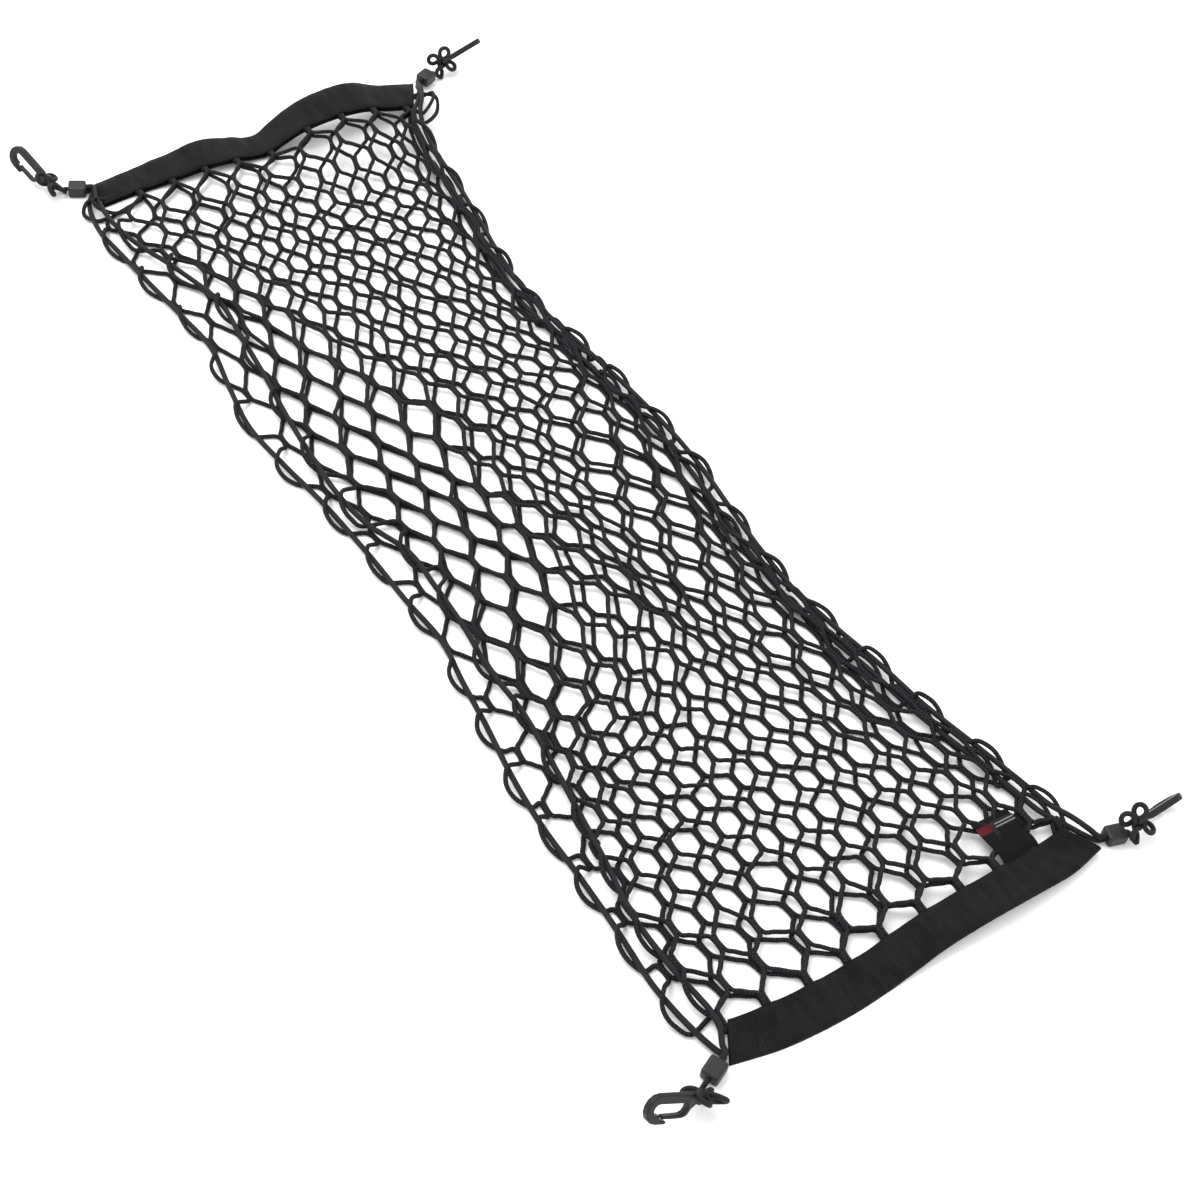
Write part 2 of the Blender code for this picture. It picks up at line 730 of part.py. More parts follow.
def knot_point(t, middle, along, across, normal):
    """A point of the wreath; t is the angle round it, with a lobe at every quarter turn."""
    x = KNOT_TURN * math.cos(t) + KNOT_LOBES * math.cos(3 * t) + KNOT_ROUND * math.cos(7 * t)
    y = KNOT_TURN * math.sin(t) - KNOT_LOBES * math.sin(3 * t) - KNOT_ROUND * math.sin(7 * t)
    ahead = (x + y) * math.sqrt(0.5)
    aside = (y - x) * math.sqrt(0.5)
    height = KNOT_WAVE * math.sin(4 * t)
    return middle + along * ahead + across * aside + normal * height


def knot(name, middle, along, square, back, bead_face, heading):
    """A wreath of four lobes whose one strand comes from the bead and threads the eye."""
    tilt = math.radians(KNOT_TILT)
    across = square * math.cos(tilt) + back * math.sin(tilt)
    normal = square * math.sin(tilt) - back * math.cos(tilt)
    tips = [math.pi / 2.0 * i for i in range(4)]
    tip = min(tips, key=lambda t: (knot_point(t, middle, along, across, normal) - bead_face).length)
    first = tip + KNOT_ENTRY
    last = tip + 2.0 * math.pi - KNOT_END
    wreath = []
    for i in range(KNOT_POINTS):
        t = first + (last - first) * i / (KNOT_POINTS - 1)
        wreath.append(knot_point(t, middle, along, across, normal))
    lead = bead_face + heading * STEM_LEAD
    before = wreath[0] + (wreath[0] - wreath[1]).normalized() * STEM_LEAD
    points = [bead_face, lead, (lead + before) / 2.0, before] + wreath
    rings, faces = swept_tube(points, KNOT_RADIUS, CORD_SIDES, normal)
    return add_mesh(name, rings, faces, smooth=True)


def hook_outline():
    """Outline of the hook ahead of its neck, counter-clockwise from the web of the tongue."""
    head_x = TIP_X - TIP_OUTER
    head_y = BAR_HALF - TIP_OUTER
    outline = [point[1:] for point in HOOK_INSIDE]
    for degrees in HEAD_INNER_ANGLES:
        angle = math.radians(degrees)
        outline.append((head_x + TIP_INNER * math.cos(angle), head_y + TIP_INNER * math.sin(angle)))
    outline += [point[1:] for point in HOOK_NOSE]
    for degrees in HEAD_OUTER_ANGLES:
        angle = math.radians(degrees)
        outline.append((head_x + TIP_OUTER * math.cos(angle), head_y + TIP_OUTER * math.sin(angle)))
    return outline


def inset_loop(loop, amount):
    """A closed counter-clockwise loop moved inwards by the amount."""
    count = len(loop)
    moved = []
    for i in range(count):
        ax, ay = loop[i - 1]
        bx, by = loop[i]
        cx, cy = loop[(i + 1) % count]
        first = math.hypot(bx - ax, by - ay)
        second = math.hypot(cx - bx, cy - by)
        n1 = (-(by - ay) / first, (bx - ax) / first)
        n2 = (-(cy - by) / second, (cx - bx) / second)
        nx, ny = n1[0] + n2[0], n1[1] + n2[1]
        scale = 2.0 * amount / max(nx * nx + ny * ny, 0.6)
        moved.append((bx + nx * scale, by + ny * scale))
    return moved


def hook(name, eye, along, back, square):
    """One moulded hook: eye, neck, back, C-shaped head and the thin spring tongue."""
    ring = []
    arc_end = EYE_SIDES - EYE_HIDDEN  # the ring's last corner that is on the outline
    free = 360.0 - (EYE_END - EYE_START)
    for i in range(EYE_SIDES):
        if i <= arc_end:
            angle = EYE_END + free * i / arc_end
        else:
            angle = EYE_START + (EYE_END - EYE_START) * (i - arc_end) / EYE_HIDDEN
        ring.append((math.cos(math.radians(angle)), math.sin(math.radians(angle))))
    body = hook_outline()
    outer = [(EYE_OUTER * x, EYE_OUTER * y) for x, y in ring[: arc_end + 1]]
    outer += [*NECK_WEB, *body, *NECK_BACK]
    inner = inset_loop(outer, HOOK_CHAMFER)
    thin = arc_end + 1
    body_first = thin + len(NECK_WEB)
    body_last = body_first + len(body) - 1
    points = []
    faces = []

    def thickness(i):
        if i <= thin or i == len(outer) - 1:
            return HOOK_EYE_HALF
        return HOOK_HALF

    def place(x, y, z):
        points.append(tuple(eye + along * x + back * y + square * z))
        return len(points) - 1

    levels = []
    for sign in (1.0, -1.0):
        cap = [place(*inner[i], sign * thickness(i)) for i in range(len(outer))]
        rim = [place(*outer[i], sign * (thickness(i) - HOOK_CHAMFER)) for i in range(len(outer))]
        levels.append((cap, rim))
    count = len(outer)
    for i in range(count):
        j = (i + 1) % count
        for cap, rim in levels:
            faces.append((cap[i], cap[j], rim[j], rim[i]))
        faces.append((levels[0][1][i], levels[0][1][j], levels[1][1][j], levels[1][1][i]))
    holes = []
    for sign, (cap, _) in zip((1.0, -1.0), levels):
        hole = [place(EYE_HOLE * x, EYE_HOLE * y, sign * HOOK_EYE_HALF) for x, y in ring]
        hidden = [
            place((EYE_OUTER - HOOK_CHAMFER) * x, (EYE_OUTER - HOOK_CHAMFER) * y, sign * HOOK_EYE_HALF)
            for x, y in ring[arc_end + 1 :]
        ]
        rim_ring = cap[: arc_end + 1] + hidden
        for i in range(EYE_SIDES):
            j = (i + 1) % EYE_SIDES
            faces.append((rim_ring[i], rim_ring[j], hole[j], hole[i]))
        faces.append(tuple([cap[arc_end], cap[thin], cap[count - 1], cap[0]] + hidden[::-1]))
        faces.append((cap[thin], cap[thin + 1], cap[count - 2], cap[count - 1]))
        faces.append(tuple([cap[thin + 1]] + cap[body_first : body_last + 1] + [cap[count - 2]]))
        holes.append(hole)
    for i in range(EYE_SIDES):
        j = (i + 1) % EYE_SIDES
        faces.append((holes[0][i], holes[0][j], holes[1][j], holes[1][i]))
    return add_mesh(name, points, faces)


def label(name):
    """A folded woven tab at the inner edge of the near binding, over the upper netting."""
    points = []
    faces = []
    for y, z in LABEL:
        for x, up in ((LABEL_LEFT, -1), (LABEL_RIGHT, -1), (LABEL_RIGHT, 1), (LABEL_LEFT, 1)):
            points.append((x, y, lift(x, y) + z + up * LABEL_HALF))
    for i in range(len(LABEL) - 1):
        for j in range(4):
            a = 4 * i + j
            b = 4 * i + (j + 1) % 4
            faces.append((a, b, b + 4, a + 4))
    last = 4 * (len(LABEL) - 1)
    faces.append((0, 1, 2, 3))
    faces.append((last, last + 1, last + 2, last + 3))
    return add_mesh(name, points, faces)


def main():
    """Clear the scene and build every piece."""
    for item in list(bpy.data.objects):
        bpy.data.objects.remove(item, do_unlink=True)
    twine = material("twine", (0.022, 0.022, 0.025), 0.75)
    webbing = material("webbing", (0.02, 0.02, 0.023), 0.8)
    elastic = material("elastic", (0.028, 0.028, 0.032), 0.55)
    plastic = material("plastic", (0.03, 0.027, 0.027), 0.35)
    bead = material("bead", (0.05, 0.05, 0.055), 0.4)
    woven = material("woven", (0.03, 0.03, 0.035), 0.6)

    made = []
    lower = ("left_outer", "right_lower")
    upper = ("left_inner", "right_upper")
    made.append((netting("net_lower", lower, LOWER_Z, LOWER_STUB_Z, LOWER_CORD_Z, True), twine))
    made.append((netting("net_upper", upper, UPPER_Z, UPPER_STUB_Z, UPPER_CORD_Z, False), twine))
    made.append((binding("binding_near", NEAR_STATIONS), webbing))
    made.append((binding("binding_far", FAR_STATIONS), webbing))
    for cord, height in (
        ("left_outer", LOWER_CORD_Z),
        ("left_inner", UPPER_CORD_Z),
        ("right_lower", LOWER_CORD_Z),
        ("right_upper", UPPER_CORD_Z),
    ):
        made.append((add_curve("cord_" + cord, cord_line(cord, height), CORD_RADIUS), elastic))
    for corner, bx, by, bz, heading, ex, ey, ez, azimuth, elevation, roll in CORNERS:
        made.append((crimp("crimp_" + corner, (bx, by, bz), heading), bead))
        along, back, square = hook_axes(azimuth, elevation, roll)
        eye = Vector((ex, ey, ez))
        middle = eye - along * HOOK_EYE_AHEAD
        ahead = Vector((math.cos(math.radians(heading)), math.sin(math.radians(heading)), 0.0))
        face = Vector((bx, by, bz)) + ahead * (CRIMP_LENGTH / 2.0 + FIT_GAP)
        made.append((knot("knot_" + corner, middle, along, square, back, face, ahead), elastic))
        made.append((hook("hook_" + corner, eye, along, back, square), plastic))
    made.append((label("label_tab"), woven))
    for item, look in made:
        item.data.materials.append(look)


main()
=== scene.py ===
"""Envelope cargo net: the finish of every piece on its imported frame.

The tables are in millimetres on a plan whose origin is the near left corner of the net:
x runs to the right, y to the far end, z up from the surface that the net lies on.
place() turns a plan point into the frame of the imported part, in metres.
"""

import math
import random

import bmesh
import bpy
from mathutils import Matrix, Vector, noise


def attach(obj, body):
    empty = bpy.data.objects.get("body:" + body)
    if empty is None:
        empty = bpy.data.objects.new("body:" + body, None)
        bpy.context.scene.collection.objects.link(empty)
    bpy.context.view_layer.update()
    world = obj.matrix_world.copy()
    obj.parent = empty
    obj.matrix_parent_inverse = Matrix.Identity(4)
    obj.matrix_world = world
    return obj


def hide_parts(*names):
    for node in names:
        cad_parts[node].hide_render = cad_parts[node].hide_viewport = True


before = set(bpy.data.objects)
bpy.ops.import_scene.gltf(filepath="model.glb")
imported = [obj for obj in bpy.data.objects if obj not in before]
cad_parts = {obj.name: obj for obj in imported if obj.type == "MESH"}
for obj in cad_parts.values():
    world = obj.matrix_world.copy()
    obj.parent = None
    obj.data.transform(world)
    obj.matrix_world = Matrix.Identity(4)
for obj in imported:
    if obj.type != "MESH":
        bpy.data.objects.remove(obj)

bl_info = {
    "name": "Cargo net dressing",
    "version": (1, 0, 0),
    "blender": (4, 5, 0),
    "location": "3D View > Sidebar > Cargo net",
    "description": "Netting, webbing, elastic cords, fittings and stage of an envelope cargo net",
    "category": "Object",
}

MM = 0.001
CENTRE_X = 151.4
CENTRE_Y = 438.5

# ---- camera -----------------------------------------------------------------------------
CAMERA_PLACE = (-0.60003, -0.79446, 1.01900)
CAMERA_FORWARD = (0.42557683, 0.49981914, -0.7543641)
CAMERA_UP = (0.35361345, 0.67548772, 0.64705013)
CAMERA_LENS = 60.32
CAMERA_SENSOR = 36.0
KEY_PLACE = (-0.50, 1.00, 2.10)
FLOOR_HALF = 6.0

# ---- bindings ---------------------------------------------------------------------------
# Near binding: its inner edge (in) and its folded outer edge (out), left to right.
NEAR_BAND = (
    # x_in, y_in, z_in, x_out, y_out, z_out
    (16.5, 17.0, 0.0, 2.5, -5.5, 0.0),
    (36.0, 14.5, 0.0, 33.0, -12.0, 0.0),
    (60.0, 12.5, 0.0, 60.0, -14.5, 0.0),
    (88.0, 12.0, 0.0, 88.0, -15.0, 0.0),
    (114.0, 13.0, 0.0, 114.0, -13.5, 0.0),
    (136.0, 14.5, 2.5, 136.0, -12.0, 3.5),
    (156.0, 15.5, 5.0, 156.0, -10.5, 6.5),
    (182.0, 16.0, 6.5, 182.0, -10.0, 9.0),
    (210.0, 16.3, 7.0, 210.0, -10.0, 10.0),
    (235.0, 17.0, 6.0, 236.0, -9.5, 8.5),
    (258.0, 18.5, 4.0, 264.0, -8.0, 5.5),
    (278.5, 20.5, 3.5, 292.0, -2.5, 4.5),
)
# Far binding, in the same way: it stands in two arches with a low place between them.
FAR_BAND = (
    # x_in, y_in, z_in, x_out, y_out, z_out
    (1.0, 833.0, 0.5, 3.4, 859.0, 1.5),
    (30.0, 836.5, 0.5, 30.0, 863.5, 2.0),
    (60.0, 837.0, 2.0, 60.0, 865.5, 5.0),
    (94.0, 837.0, 5.0, 94.0, 866.0, 10.5),
    (118.0, 836.5, 4.0, 118.0, 864.5, 7.0),
    (142.0, 836.0, 2.0, 142.0, 864.0, 2.0),
    (158.0, 836.0, 9.0, 158.0, 865.0, 10.0),
    (174.0, 836.0, 15.0, 174.0, 866.0, 18.0),
    (194.0, 836.5, 18.0, 194.0, 866.5, 24.0),
    (215.0, 837.0, 18.5, 215.0, 867.0, 26.0),
    (234.0, 836.5, 17.0, 235.0, 867.0, 24.0),
    (254.0, 835.0, 12.5, 260.0, 865.5, 15.0),
    (274.0, 832.5, 10.0, 290.0, 861.5, 11.0),
)
BAND_LOW = 0.55  # middle of the lower ply over the band's underside
BAND_OPEN = 3.3  # from the lower ply to the upper one at the inner edge
BAND_SWELL = 1.5  # more, where a joint of both layers goes in
BAND_SWELL_X = 5.0
BAND_NOSE_POWER = 7.0
BAND_STEPS = 180
BAND_ACROSS = 11
BAND_PUCKER = 1.9  # how deep the puckers of the upper ply are
BAND_PUCKER_FROM = 0.3  # share of the width over which they begin, from the inner edge
BAND_PUCKER_WAVE = (11.0, 26.0, 60.0)  # their size across, along, and how they slant
BAND_FINE_WAVE = (4.5, 15.0)
BAND_FINE = 0.3  # share of the fine puckers
BAND_CLOSE = 0.25  # share by which the plies come together at the fold
BAND_SWELL_DEPTH = 0.42  # share of the width at which a swelling ends
BAND_WIDTH = 0.027
BAND_END_DENSE = 1.6  # power that brings the points closer together towards the fold
SEAMS = (0.13, 0.22)  # shares of the width at which the two seams run
SEAM_OVER = 0.5
SEAM_MARGIN = 2  # stations without sewing at each end
RAMP = 79.0  # distance over which the netting comes down from a raised binding
RAMP_SOFT = 0.1

# ---- edge cords -------------------------------------------------------------------------
CORD_ROUTE = (
    # y, left_under, left_over, right_under, right_over
    (38.0, -7.5, 8.5, 273.8, 281.0),
    (60.0, -9.0, 6.0, 270.3, 277.5),
    (100.0, -7.0, 5.5, 263.3, 270.5),
    (140.0, -6.5, 12.0, 254.8, 262.0),
    (180.0, -7.0, 17.5, 249.8, 257.0),
    (220.0, -4.0, 23.0, 242.8, 250.0),
    (260.0, 2.0, 27.0, 237.8, 245.0),
    (300.0, 7.0, 26.0, 238.8, 246.0),
    (335.0, 12.0, 29.5, 241.8, 249.0),
    (375.0, 8.5, 30.5, 246.3, 253.5),
    (410.0, 7.0, 30.0, 248.3, 255.5),
    (445.0, 4.5, 17.5, 247.3, 254.5),
    (480.0, 1.0, 13.0, 244.8, 252.0),
    (525.0, -6.0, 14.5, 239.8, 247.0),
    (565.0, -10.0, 17.5, 234.8, 242.0),
    (605.0, -5.0, 22.0, 232.8, 240.0),
    (650.0, 2.0, 25.5, 237.8, 245.0),
    (690.0, -2.0, 28.0, 244.8, 252.0),
    (735.0, -8.0, 16.5, 251.8, 259.0),
    (775.0, -13.0, 2.0, 254.8, 262.0),
    (800.0, -16.0, -3.5, 258.8, 266.0),
    (821.0, -14.0, -4.6, 266.3, 273.5),
)
# Where the cords leave the netting and come round the end of a binding to their bead.
CORD_ENDS = (
    # cord, end, x, y, z
    ("left_under", "near", 0.4, 5.0, 2.8),
    ("left_under", "near", -2.4, 13.0, 3.8),
    ("left_under", "near", -5.0, 24.0, 4.6),
    ("left_over", "near", 3.6, 4.6, 7.0),
    ("left_over", "near", 8.4, 14.0, 7.4),
    ("left_over", "near", 9.8, 25.0, 7.6),
    ("right_under", "near", 289.5, 10.5, 5.0),
    ("right_under", "near", 281.5, 23.5, 7.2),
    ("right_over", "near", 292.0, 11.5, 9.6),
    ("right_over", "near", 287.5, 23.0, 10.8),
    ("left_under", "far", -9.5, 837.0, 4.6),
    ("left_under", "far", -2.8, 847.5, 3.2),
    ("left_over", "far", -3.6, 835.0, 7.8),
    ("left_over", "far", -1.0, 845.5, 7.2),
    ("right_under", "far", 279.4, 835.5, 14.4),
    ("right_under", "far", 290.8, 853.0, 10.5),
    ("right_over", "far", 282.5, 834.5, 18.6),
    ("right_over", "far", 291.5, 852.0, 14.5),
)
CORDS = (
    # cord, column of the route, height, near bead, far bead, side of the bead's middle, replaces
    ("left_under", 1, 5.3, "near_left", "far_left", -1.0, "cord_left_outer"),
    ("left_over", 2, 7.95, "near_left", "far_left", 1.0, "cord_left_inner"),
    ("right_under", 3, 5.3, "near_right", "far_right", -1.0, "cord_right_lower"),
    ("right_over", 4, 7.95, "near_right", "far_right", 1.0, "cord_right_upper"),
)
RIGHT_UNDER = 3  # column of the route of the lower layer's right cord
BEAD_HALF = 6.75  # from the middle of a bead to its back
BEAD_LEAD = 4.5  # length over which a cord runs straight before its bead
BEAD_RISE = 2.15  # how far a cord enters over or under the middle of its bead
BEAD_INSIDE = 1.5
BEAD_GAP = 1.0

# ---- netting ----------------------------------------------------------------------------
COLUMNS = 10
ROWS = 33
# Plan y of the rows of joints at the left and at the right: they run askew across the waist.
ROW_Y = (
    # row, y_left, y_right
    (0, 12.5, 12.5),
    (2, 61, 61),
    (4, 106, 107),
    (8, 192, 203),
    (12, 277, 303),
    (14, 331, 356),
    (16, 384, 408),
    (18, 435, 460),
    (20, 488, 509),
    (22, 544, 559),
    (24, 598, 611),
    (26, 655, 665),
    (28, 706, 716),
    (30, 760, 765),
    (32, 811, 815),
    (33, 835, 835),
)
ROW_LEFT_X = 85.0  # y_left holds up to here, y_right from the next one on
ROW_RIGHT_X = 150.0
# Plan x of the joints of a layer by their column number, at some rows; the rest lies between.
LOWER_JOINTS = (
    # row, column_0, column_2, column_4, column_6, column_8, column_9
    (0, 13, 73, 131, 191, 250, 279),
    (2, 4, 61, 124, 184, 247, 270),
    (4, 3, 58, 121, 183, 241, 261),
    (6, 3, 59, 120, 181, 230, 249),
    (8, 4, 55, 118, 177, 232, 243),
    (12, 15, 67, 128, 175, 225, 238),
    (14, 15, 67, 123, 171, 228, 240),
    (16, 22, 68, 115, 166, 228, 246),
    (18, 18, 63, 109, 165, 226, 247),
    (20, 10, 56, 105, 165, 229, 245),
    (22, 5, 51, 105, 164, 224, 239),
    (24, 6, 52, 106, 167, 222, 237),
    (26, 6, 49, 108, 168, 227, 240),
    (28, 0, 52, 112, 172, 234, 248),
    (30, -6, 59, 118, 177, 241, 256),
    (32, -4, 66, 124, 188, 245, 262),
    (33, 17, 73.5, 129, 193, 252, 281),
)
UPPER_JOINTS = (
    # row, column_0, column_2, column_4, column_6, column_8, column_9
    (0, 13, 73, 131, 191, 250, 279),
    (2, 10, 69, 131, 194, 254, 274),
    (4, 9, 70, 134, 196, 252, 265),
    (6, 14, 71, 133, 196, 240, 256),
    (8, 20, 70, 133, 188, 236, 248),
    (12, 36, 88, 144, 180, 230, 241),
    (14, 36, 91, 136, 178, 231, 243),
    (16, 43, 89, 131, 174, 230, 247),
    (18, 40, 83, 125, 173, 231, 248),
    (20, 30, 77, 126, 178, 233, 247),
    (22, 25, 75, 123, 179, 235, 244),
    (24, 27, 72, 122, 181, 231, 240),
    (26, 32, 69, 125, 183, 236, 243),
    (28, 26, 69, 126, 189, 244, 252),
    (30, 16, 70, 130, 193, 250, 260),
    (32, 12, 71, 132, 196, 255, 266),
    (33, 17, 73.5, 129, 193, 252, 281),
)
JOINT_COLUMNS = (0, 2, 4, 6, 8, 9)
# The first and the last twine of a layer go round the cord's end into the far binding.
END_LOOPS = (
    # layer, side, x, y, z
    ("net_lower", "left", -11.5, 819.0, 1.8),
    ("net_lower", "left", -18.0, 827.5, 3.6),
    ("net_lower", "left", -11.0, 836.0, 7.6),
    ("net_lower", "left", 2.0, 839.5, 2.6),
    ("net_lower", "left", 9.0, 843.0, 1.4),
    ("net_upper", "left", 2.0, 819.0, 4.8),
    ("net_upper", "left", -7.5, 827.0, 8.2),
    ("net_upper", "left", -7.0, 834.0, 10.8),
    ("net_upper", "left", 3.5, 838.5, 3.2),
    ("net_upper", "left", 12.0, 843.0, 1.8),
    ("net_lower", "right", 274.0, 813.5, 2.0),
    ("net_lower", "right", 289.0, 820.5, 2.6),
    ("net_lower", "right", 297.0, 836.5, 3.2),
    ("net_lower", "right", 288.0, 845.0, 2.6),
    ("net_lower", "right", 279.0, 845.5, 2.0),
    ("net_upper", "right", 274.0, 817.5, 8.4),
    ("net_upper", "right", 286.0, 824.0, 12.0),
    ("net_upper", "right", 292.5, 834.5, 10.0),
    ("net_upper", "right", 286.0, 841.0, 3.6),
    ("net_upper", "right", 277.0, 843.0, 2.2),
)
LOWER_Z = 1.8  # heights of the middles of the two layers' twines
UPPER_Z = 5.3
HELD_LOWER_Z = 1.5  # heights of the two layers at the edge of a binding
HELD_UPPER_Z = 3.7
HELD_SINK = 0.62  # share of that height at which the twine ends inside
JOINT_CLOSE = 0.38  # how far each twine of a joint lies beside its middle, as a share of the twine
LEG_STRAIGHT = (0.34, 0.66)  # shares of a leg between which it runs straight
STUB = 7.5  # how far the joints stand out of a binding before their twines part
LOOP_CLEAR = 3.5  # least that an edge mesh reaches past the middle of its cord
LOOP_OUT_LEFT = 3.2  # most that it reaches further, at the left
LOOP_OUT_RIGHT = 1.2
LOOP_STEP = 13.5  # along the cord, from the middle of an edge mesh to where it crosses the cord
LOOP_OVER = 3.5  # from the middle of a cord to the middle of the twine over or under it
LOOP_SHAPE = (
    # share of the reach, of LOOP_STEP and of LOOP_OVER
    (-0.25, -1.1, -1.0),
    (0.7, -0.5, -0.5),
    (1.0, 0.05, 0.2),
    (0.75, 0.55, 0.7),
    (-0.25, 1.1, 1.0),
)
CROSSING = 9.0  # over this distance the upper layer rises to cross the lower layer's cord
CROSSING_RISE = 3.5  # how far it rises
JOINT_HOLD = 5.5  # how far the twine reaches into a binding

# ---- corner fittings --------------------------------------------------------------------
CORNERS = (
    # corner, bead x, y, z, heading, hook eye x, y, z, azimuth, elevation, roll
    ("near_left", -8.6, -5.2, 4.7, -155.5, -28.1, -17.5, 13.4, 169.4, 29.7, -60.0),
    ("far_left", -10.2, 857.8, 4.7, 155.1, -28.8, 867.3, 11.6, 106.7, 21.8, -68.0),
    ("far_right", 307.6, 870.6, 7.2, 24.3, 330.0, 878.0, 12.7, 6.4, 12.6, -46.0),
    ("near_right", 307.6, 1.1, 4.7, -15.8, 322.4, -3.0, 14.6, 2.6, 1.5, -66.0),
)
KNOT_TURN = 6.2  # the wreath's middle size, the depth of its lobes and how round they are
KNOT_LOBES = 4.7
KNOT_ROUND = 1.6
KNOT_WAVE = 2.2  # how far its crossings lie apart in height
KNOT_TILT = -10.0
KNOT_POINTS = 96
KNOT_ENTRY = 0.22  # angles left out of the wreath at its start and end
KNOT_END = 0.12
KNOT_STEP = 0.0010
KNOT_LEAD = (-1.5, 2.0)  # start and end of its straight part, from the bead's face
CORD_SIDES = 12
KNOT_EYE = KNOT_TURN - KNOT_LOBES + KNOT_ROUND
BEAD_FACE = 7.05

# ---- label ------------------------------------------------------------------------------
LABEL_PROFILE = (
    # y, z of its middle over the surface
    (14.5, 2.6),
    (17.6, 4.6),
    (21.5, 6.3),
    (30.0, 6.4),
    (40.0, 6.2),
    (49.2, 6.2),
)
LABEL_LEFT = 226.3
LABEL_RIGHT = 255.7
LABEL_STEPS = 24
LABEL_BAR = (0.70, 0.87)  # share of the label's length that the stripe covers
LABEL_RED = 0.42  # share of the stripe that is red
LABEL_LINES = 15.0  # pale lines over the label's whole length
LABEL_LINE_FROM = 0.1  # value of their wave from which a line is pale
LABEL_WEAVE = 70.0

# ---- relief, painted shade and painted light, and gloss of the finishes -----------------
BRAID_PAINTED_SHADE_AND_LIGHT = (0.55, 1.35)  # brightness of the painted shade between the strands of a braid and of the painted light on them
THREAD_PITCH = 0.55  # threads of the webbing, as a share of its rib pitch
THREAD_DEPTH = 0.35
CREASE_SCALE = (85.0, 26.0, 1.0)
CREASE_PAINTED_SHADE_AND_LIGHT = (0.55, 1.9, 0.35, 0.65)  # brightness of the painted shade in a crease and of the painted highlight on its ridge, and the noise for them
GLOSS_LESS = 0.06
GLOSS_MORE = 0.10


# ---- sizes and colours that a user can change -------------------------------------------
class CargoNetSizes(bpy.types.PropertyGroup):
    """Sizes of the netting, the cords and the sewing."""

    twine: bpy.props.FloatProperty(
        name="Twine", description="Thickness of the netting twine", default=0.0032, unit="LENGTH"
    )
    twine_step: bpy.props.FloatProperty(
        name="Twine step", description="Spacing of the rings of a twine", default=0.00123, unit="LENGTH"
    )
    twine_sides: bpy.props.IntProperty(
        name="Twine sides", description="Sides round a twine", default=6, min=5, max=16
    )
    twine_knurl: bpy.props.FloatProperty(
        name="Twine knurl", description="How much every other ring is thicker, as a share", default=0.16
    )
    joint: bpy.props.FloatProperty(
        name="Joint", description="Length of a joint of two twines", default=0.0108, unit="LENGTH"
    )
    uneven: bpy.props.FloatProperty(
        name="Unevenness", description="How far a joint lies from its place", default=0.0019, unit="LENGTH"
    )
    seed: bpy.props.IntProperty(name="Seed", description="Seed of the unevenness", default=4)
    cord: bpy.props.FloatProperty(
        name="Elastic cord", description="Thickness of the edge cords", default=0.0038, unit="LENGTH"
    )
    cord_step: bpy.props.FloatProperty(
        name="Cord step", description="Spacing of the rings of a cord", default=0.0020, unit="LENGTH"
    )
    knot_cord: bpy.props.FloatProperty(
        name="Knot cord", description="Thickness of the cord in a knot", default=0.0034, unit="LENGTH"
    )
    webbing: bpy.props.FloatProperty(
        name="Webbing", description="Thickness of one ply of webbing", default=0.0009, unit="LENGTH"
    )
    stitch_pitch: bpy.props.FloatProperty(
        name="Stitch pitch", description="Distance from stitch to stitch", default=0.0033, unit="LENGTH"
    )
    stitch_length: bpy.props.FloatProperty(
        name="Stitch length", description="Length of one stitch", default=0.0025, unit="LENGTH"
    )
    stitch_thread: bpy.props.FloatProperty(
        name="Sewing thread", description="Thickness of the sewing thread", default=0.0005, unit="LENGTH"
    )
    label: bpy.props.FloatProperty(
        name="Label", description="Thickness of the woven label", default=0.0009, unit="LENGTH"
    )


class CargoNetColours(bpy.types.PropertyGroup):
    """Colours of the object and the stage."""

    twine: bpy.props.FloatVectorProperty(
        name="Twine", description="Netting twine", subtype="COLOR", default=(0.0118, 0.0118, 0.0142)
    )
    webbing: bpy.props.FloatVectorProperty(
        name="Webbing", description="Bindings", subtype="COLOR", default=(0.0032, 0.0032, 0.0037)
    )
    elastic: bpy.props.FloatVectorProperty(
        name="Elastic", description="Edge cords and knots", subtype="COLOR", default=(0.0113, 0.0113, 0.0135)
    )
    hook: bpy.props.FloatVectorProperty(
        name="Hook", description="Snap hooks", subtype="COLOR", default=(0.0085, 0.0066, 0.0060)
    )
    bead: bpy.props.FloatVectorProperty(
        name="Bead", description="Corner beads", subtype="COLOR", default=(0.0163, 0.0156, 0.0177)
    )
    label: bpy.props.FloatVectorProperty(
        name="Label", description="Ground of the label", subtype="COLOR", default=(0.0030, 0.0030, 0.0040)
    )
    label_red: bpy.props.FloatVectorProperty(
        name="Label red", description="Red bar of the label", subtype="COLOR", default=(0.085, 0.006, 0.010)
    )
    label_pale: bpy.props.FloatVectorProperty(
        name="Label pale", description="Pale lines", subtype="COLOR", default=(0.155, 0.155, 0.155)
    )
    floor: bpy.props.FloatVectorProperty(
        name="Floor", description="Floor under the net", subtype="COLOR", default=(0.92, 0.92, 0.93)
    )


class CargoNetStage(bpy.types.PropertyGroup):
    """Light of the stage."""

    sky: bpy.props.FloatProperty(
        name="Sky", description="Strength of the even light all round", default=1.36, min=0.0
    )
    key: bpy.props.FloatProperty(
        name="Key light", description="Power of the large soft light", default=42.0, min=0.0, unit="POWER"
    )
    key_size: bpy.props.FloatProperty(
        name="Key size", description="Side of the large soft light", default=1.5, unit="LENGTH"
    )


# ---- small helpers ----------------------------------------------------------------------
def place(point):
    """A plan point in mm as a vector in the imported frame, in metres."""
    x, y, z = point
    return Vector(((x - CENTRE_X) * MM, (y - CENTRE_Y) * MM, z * MM))


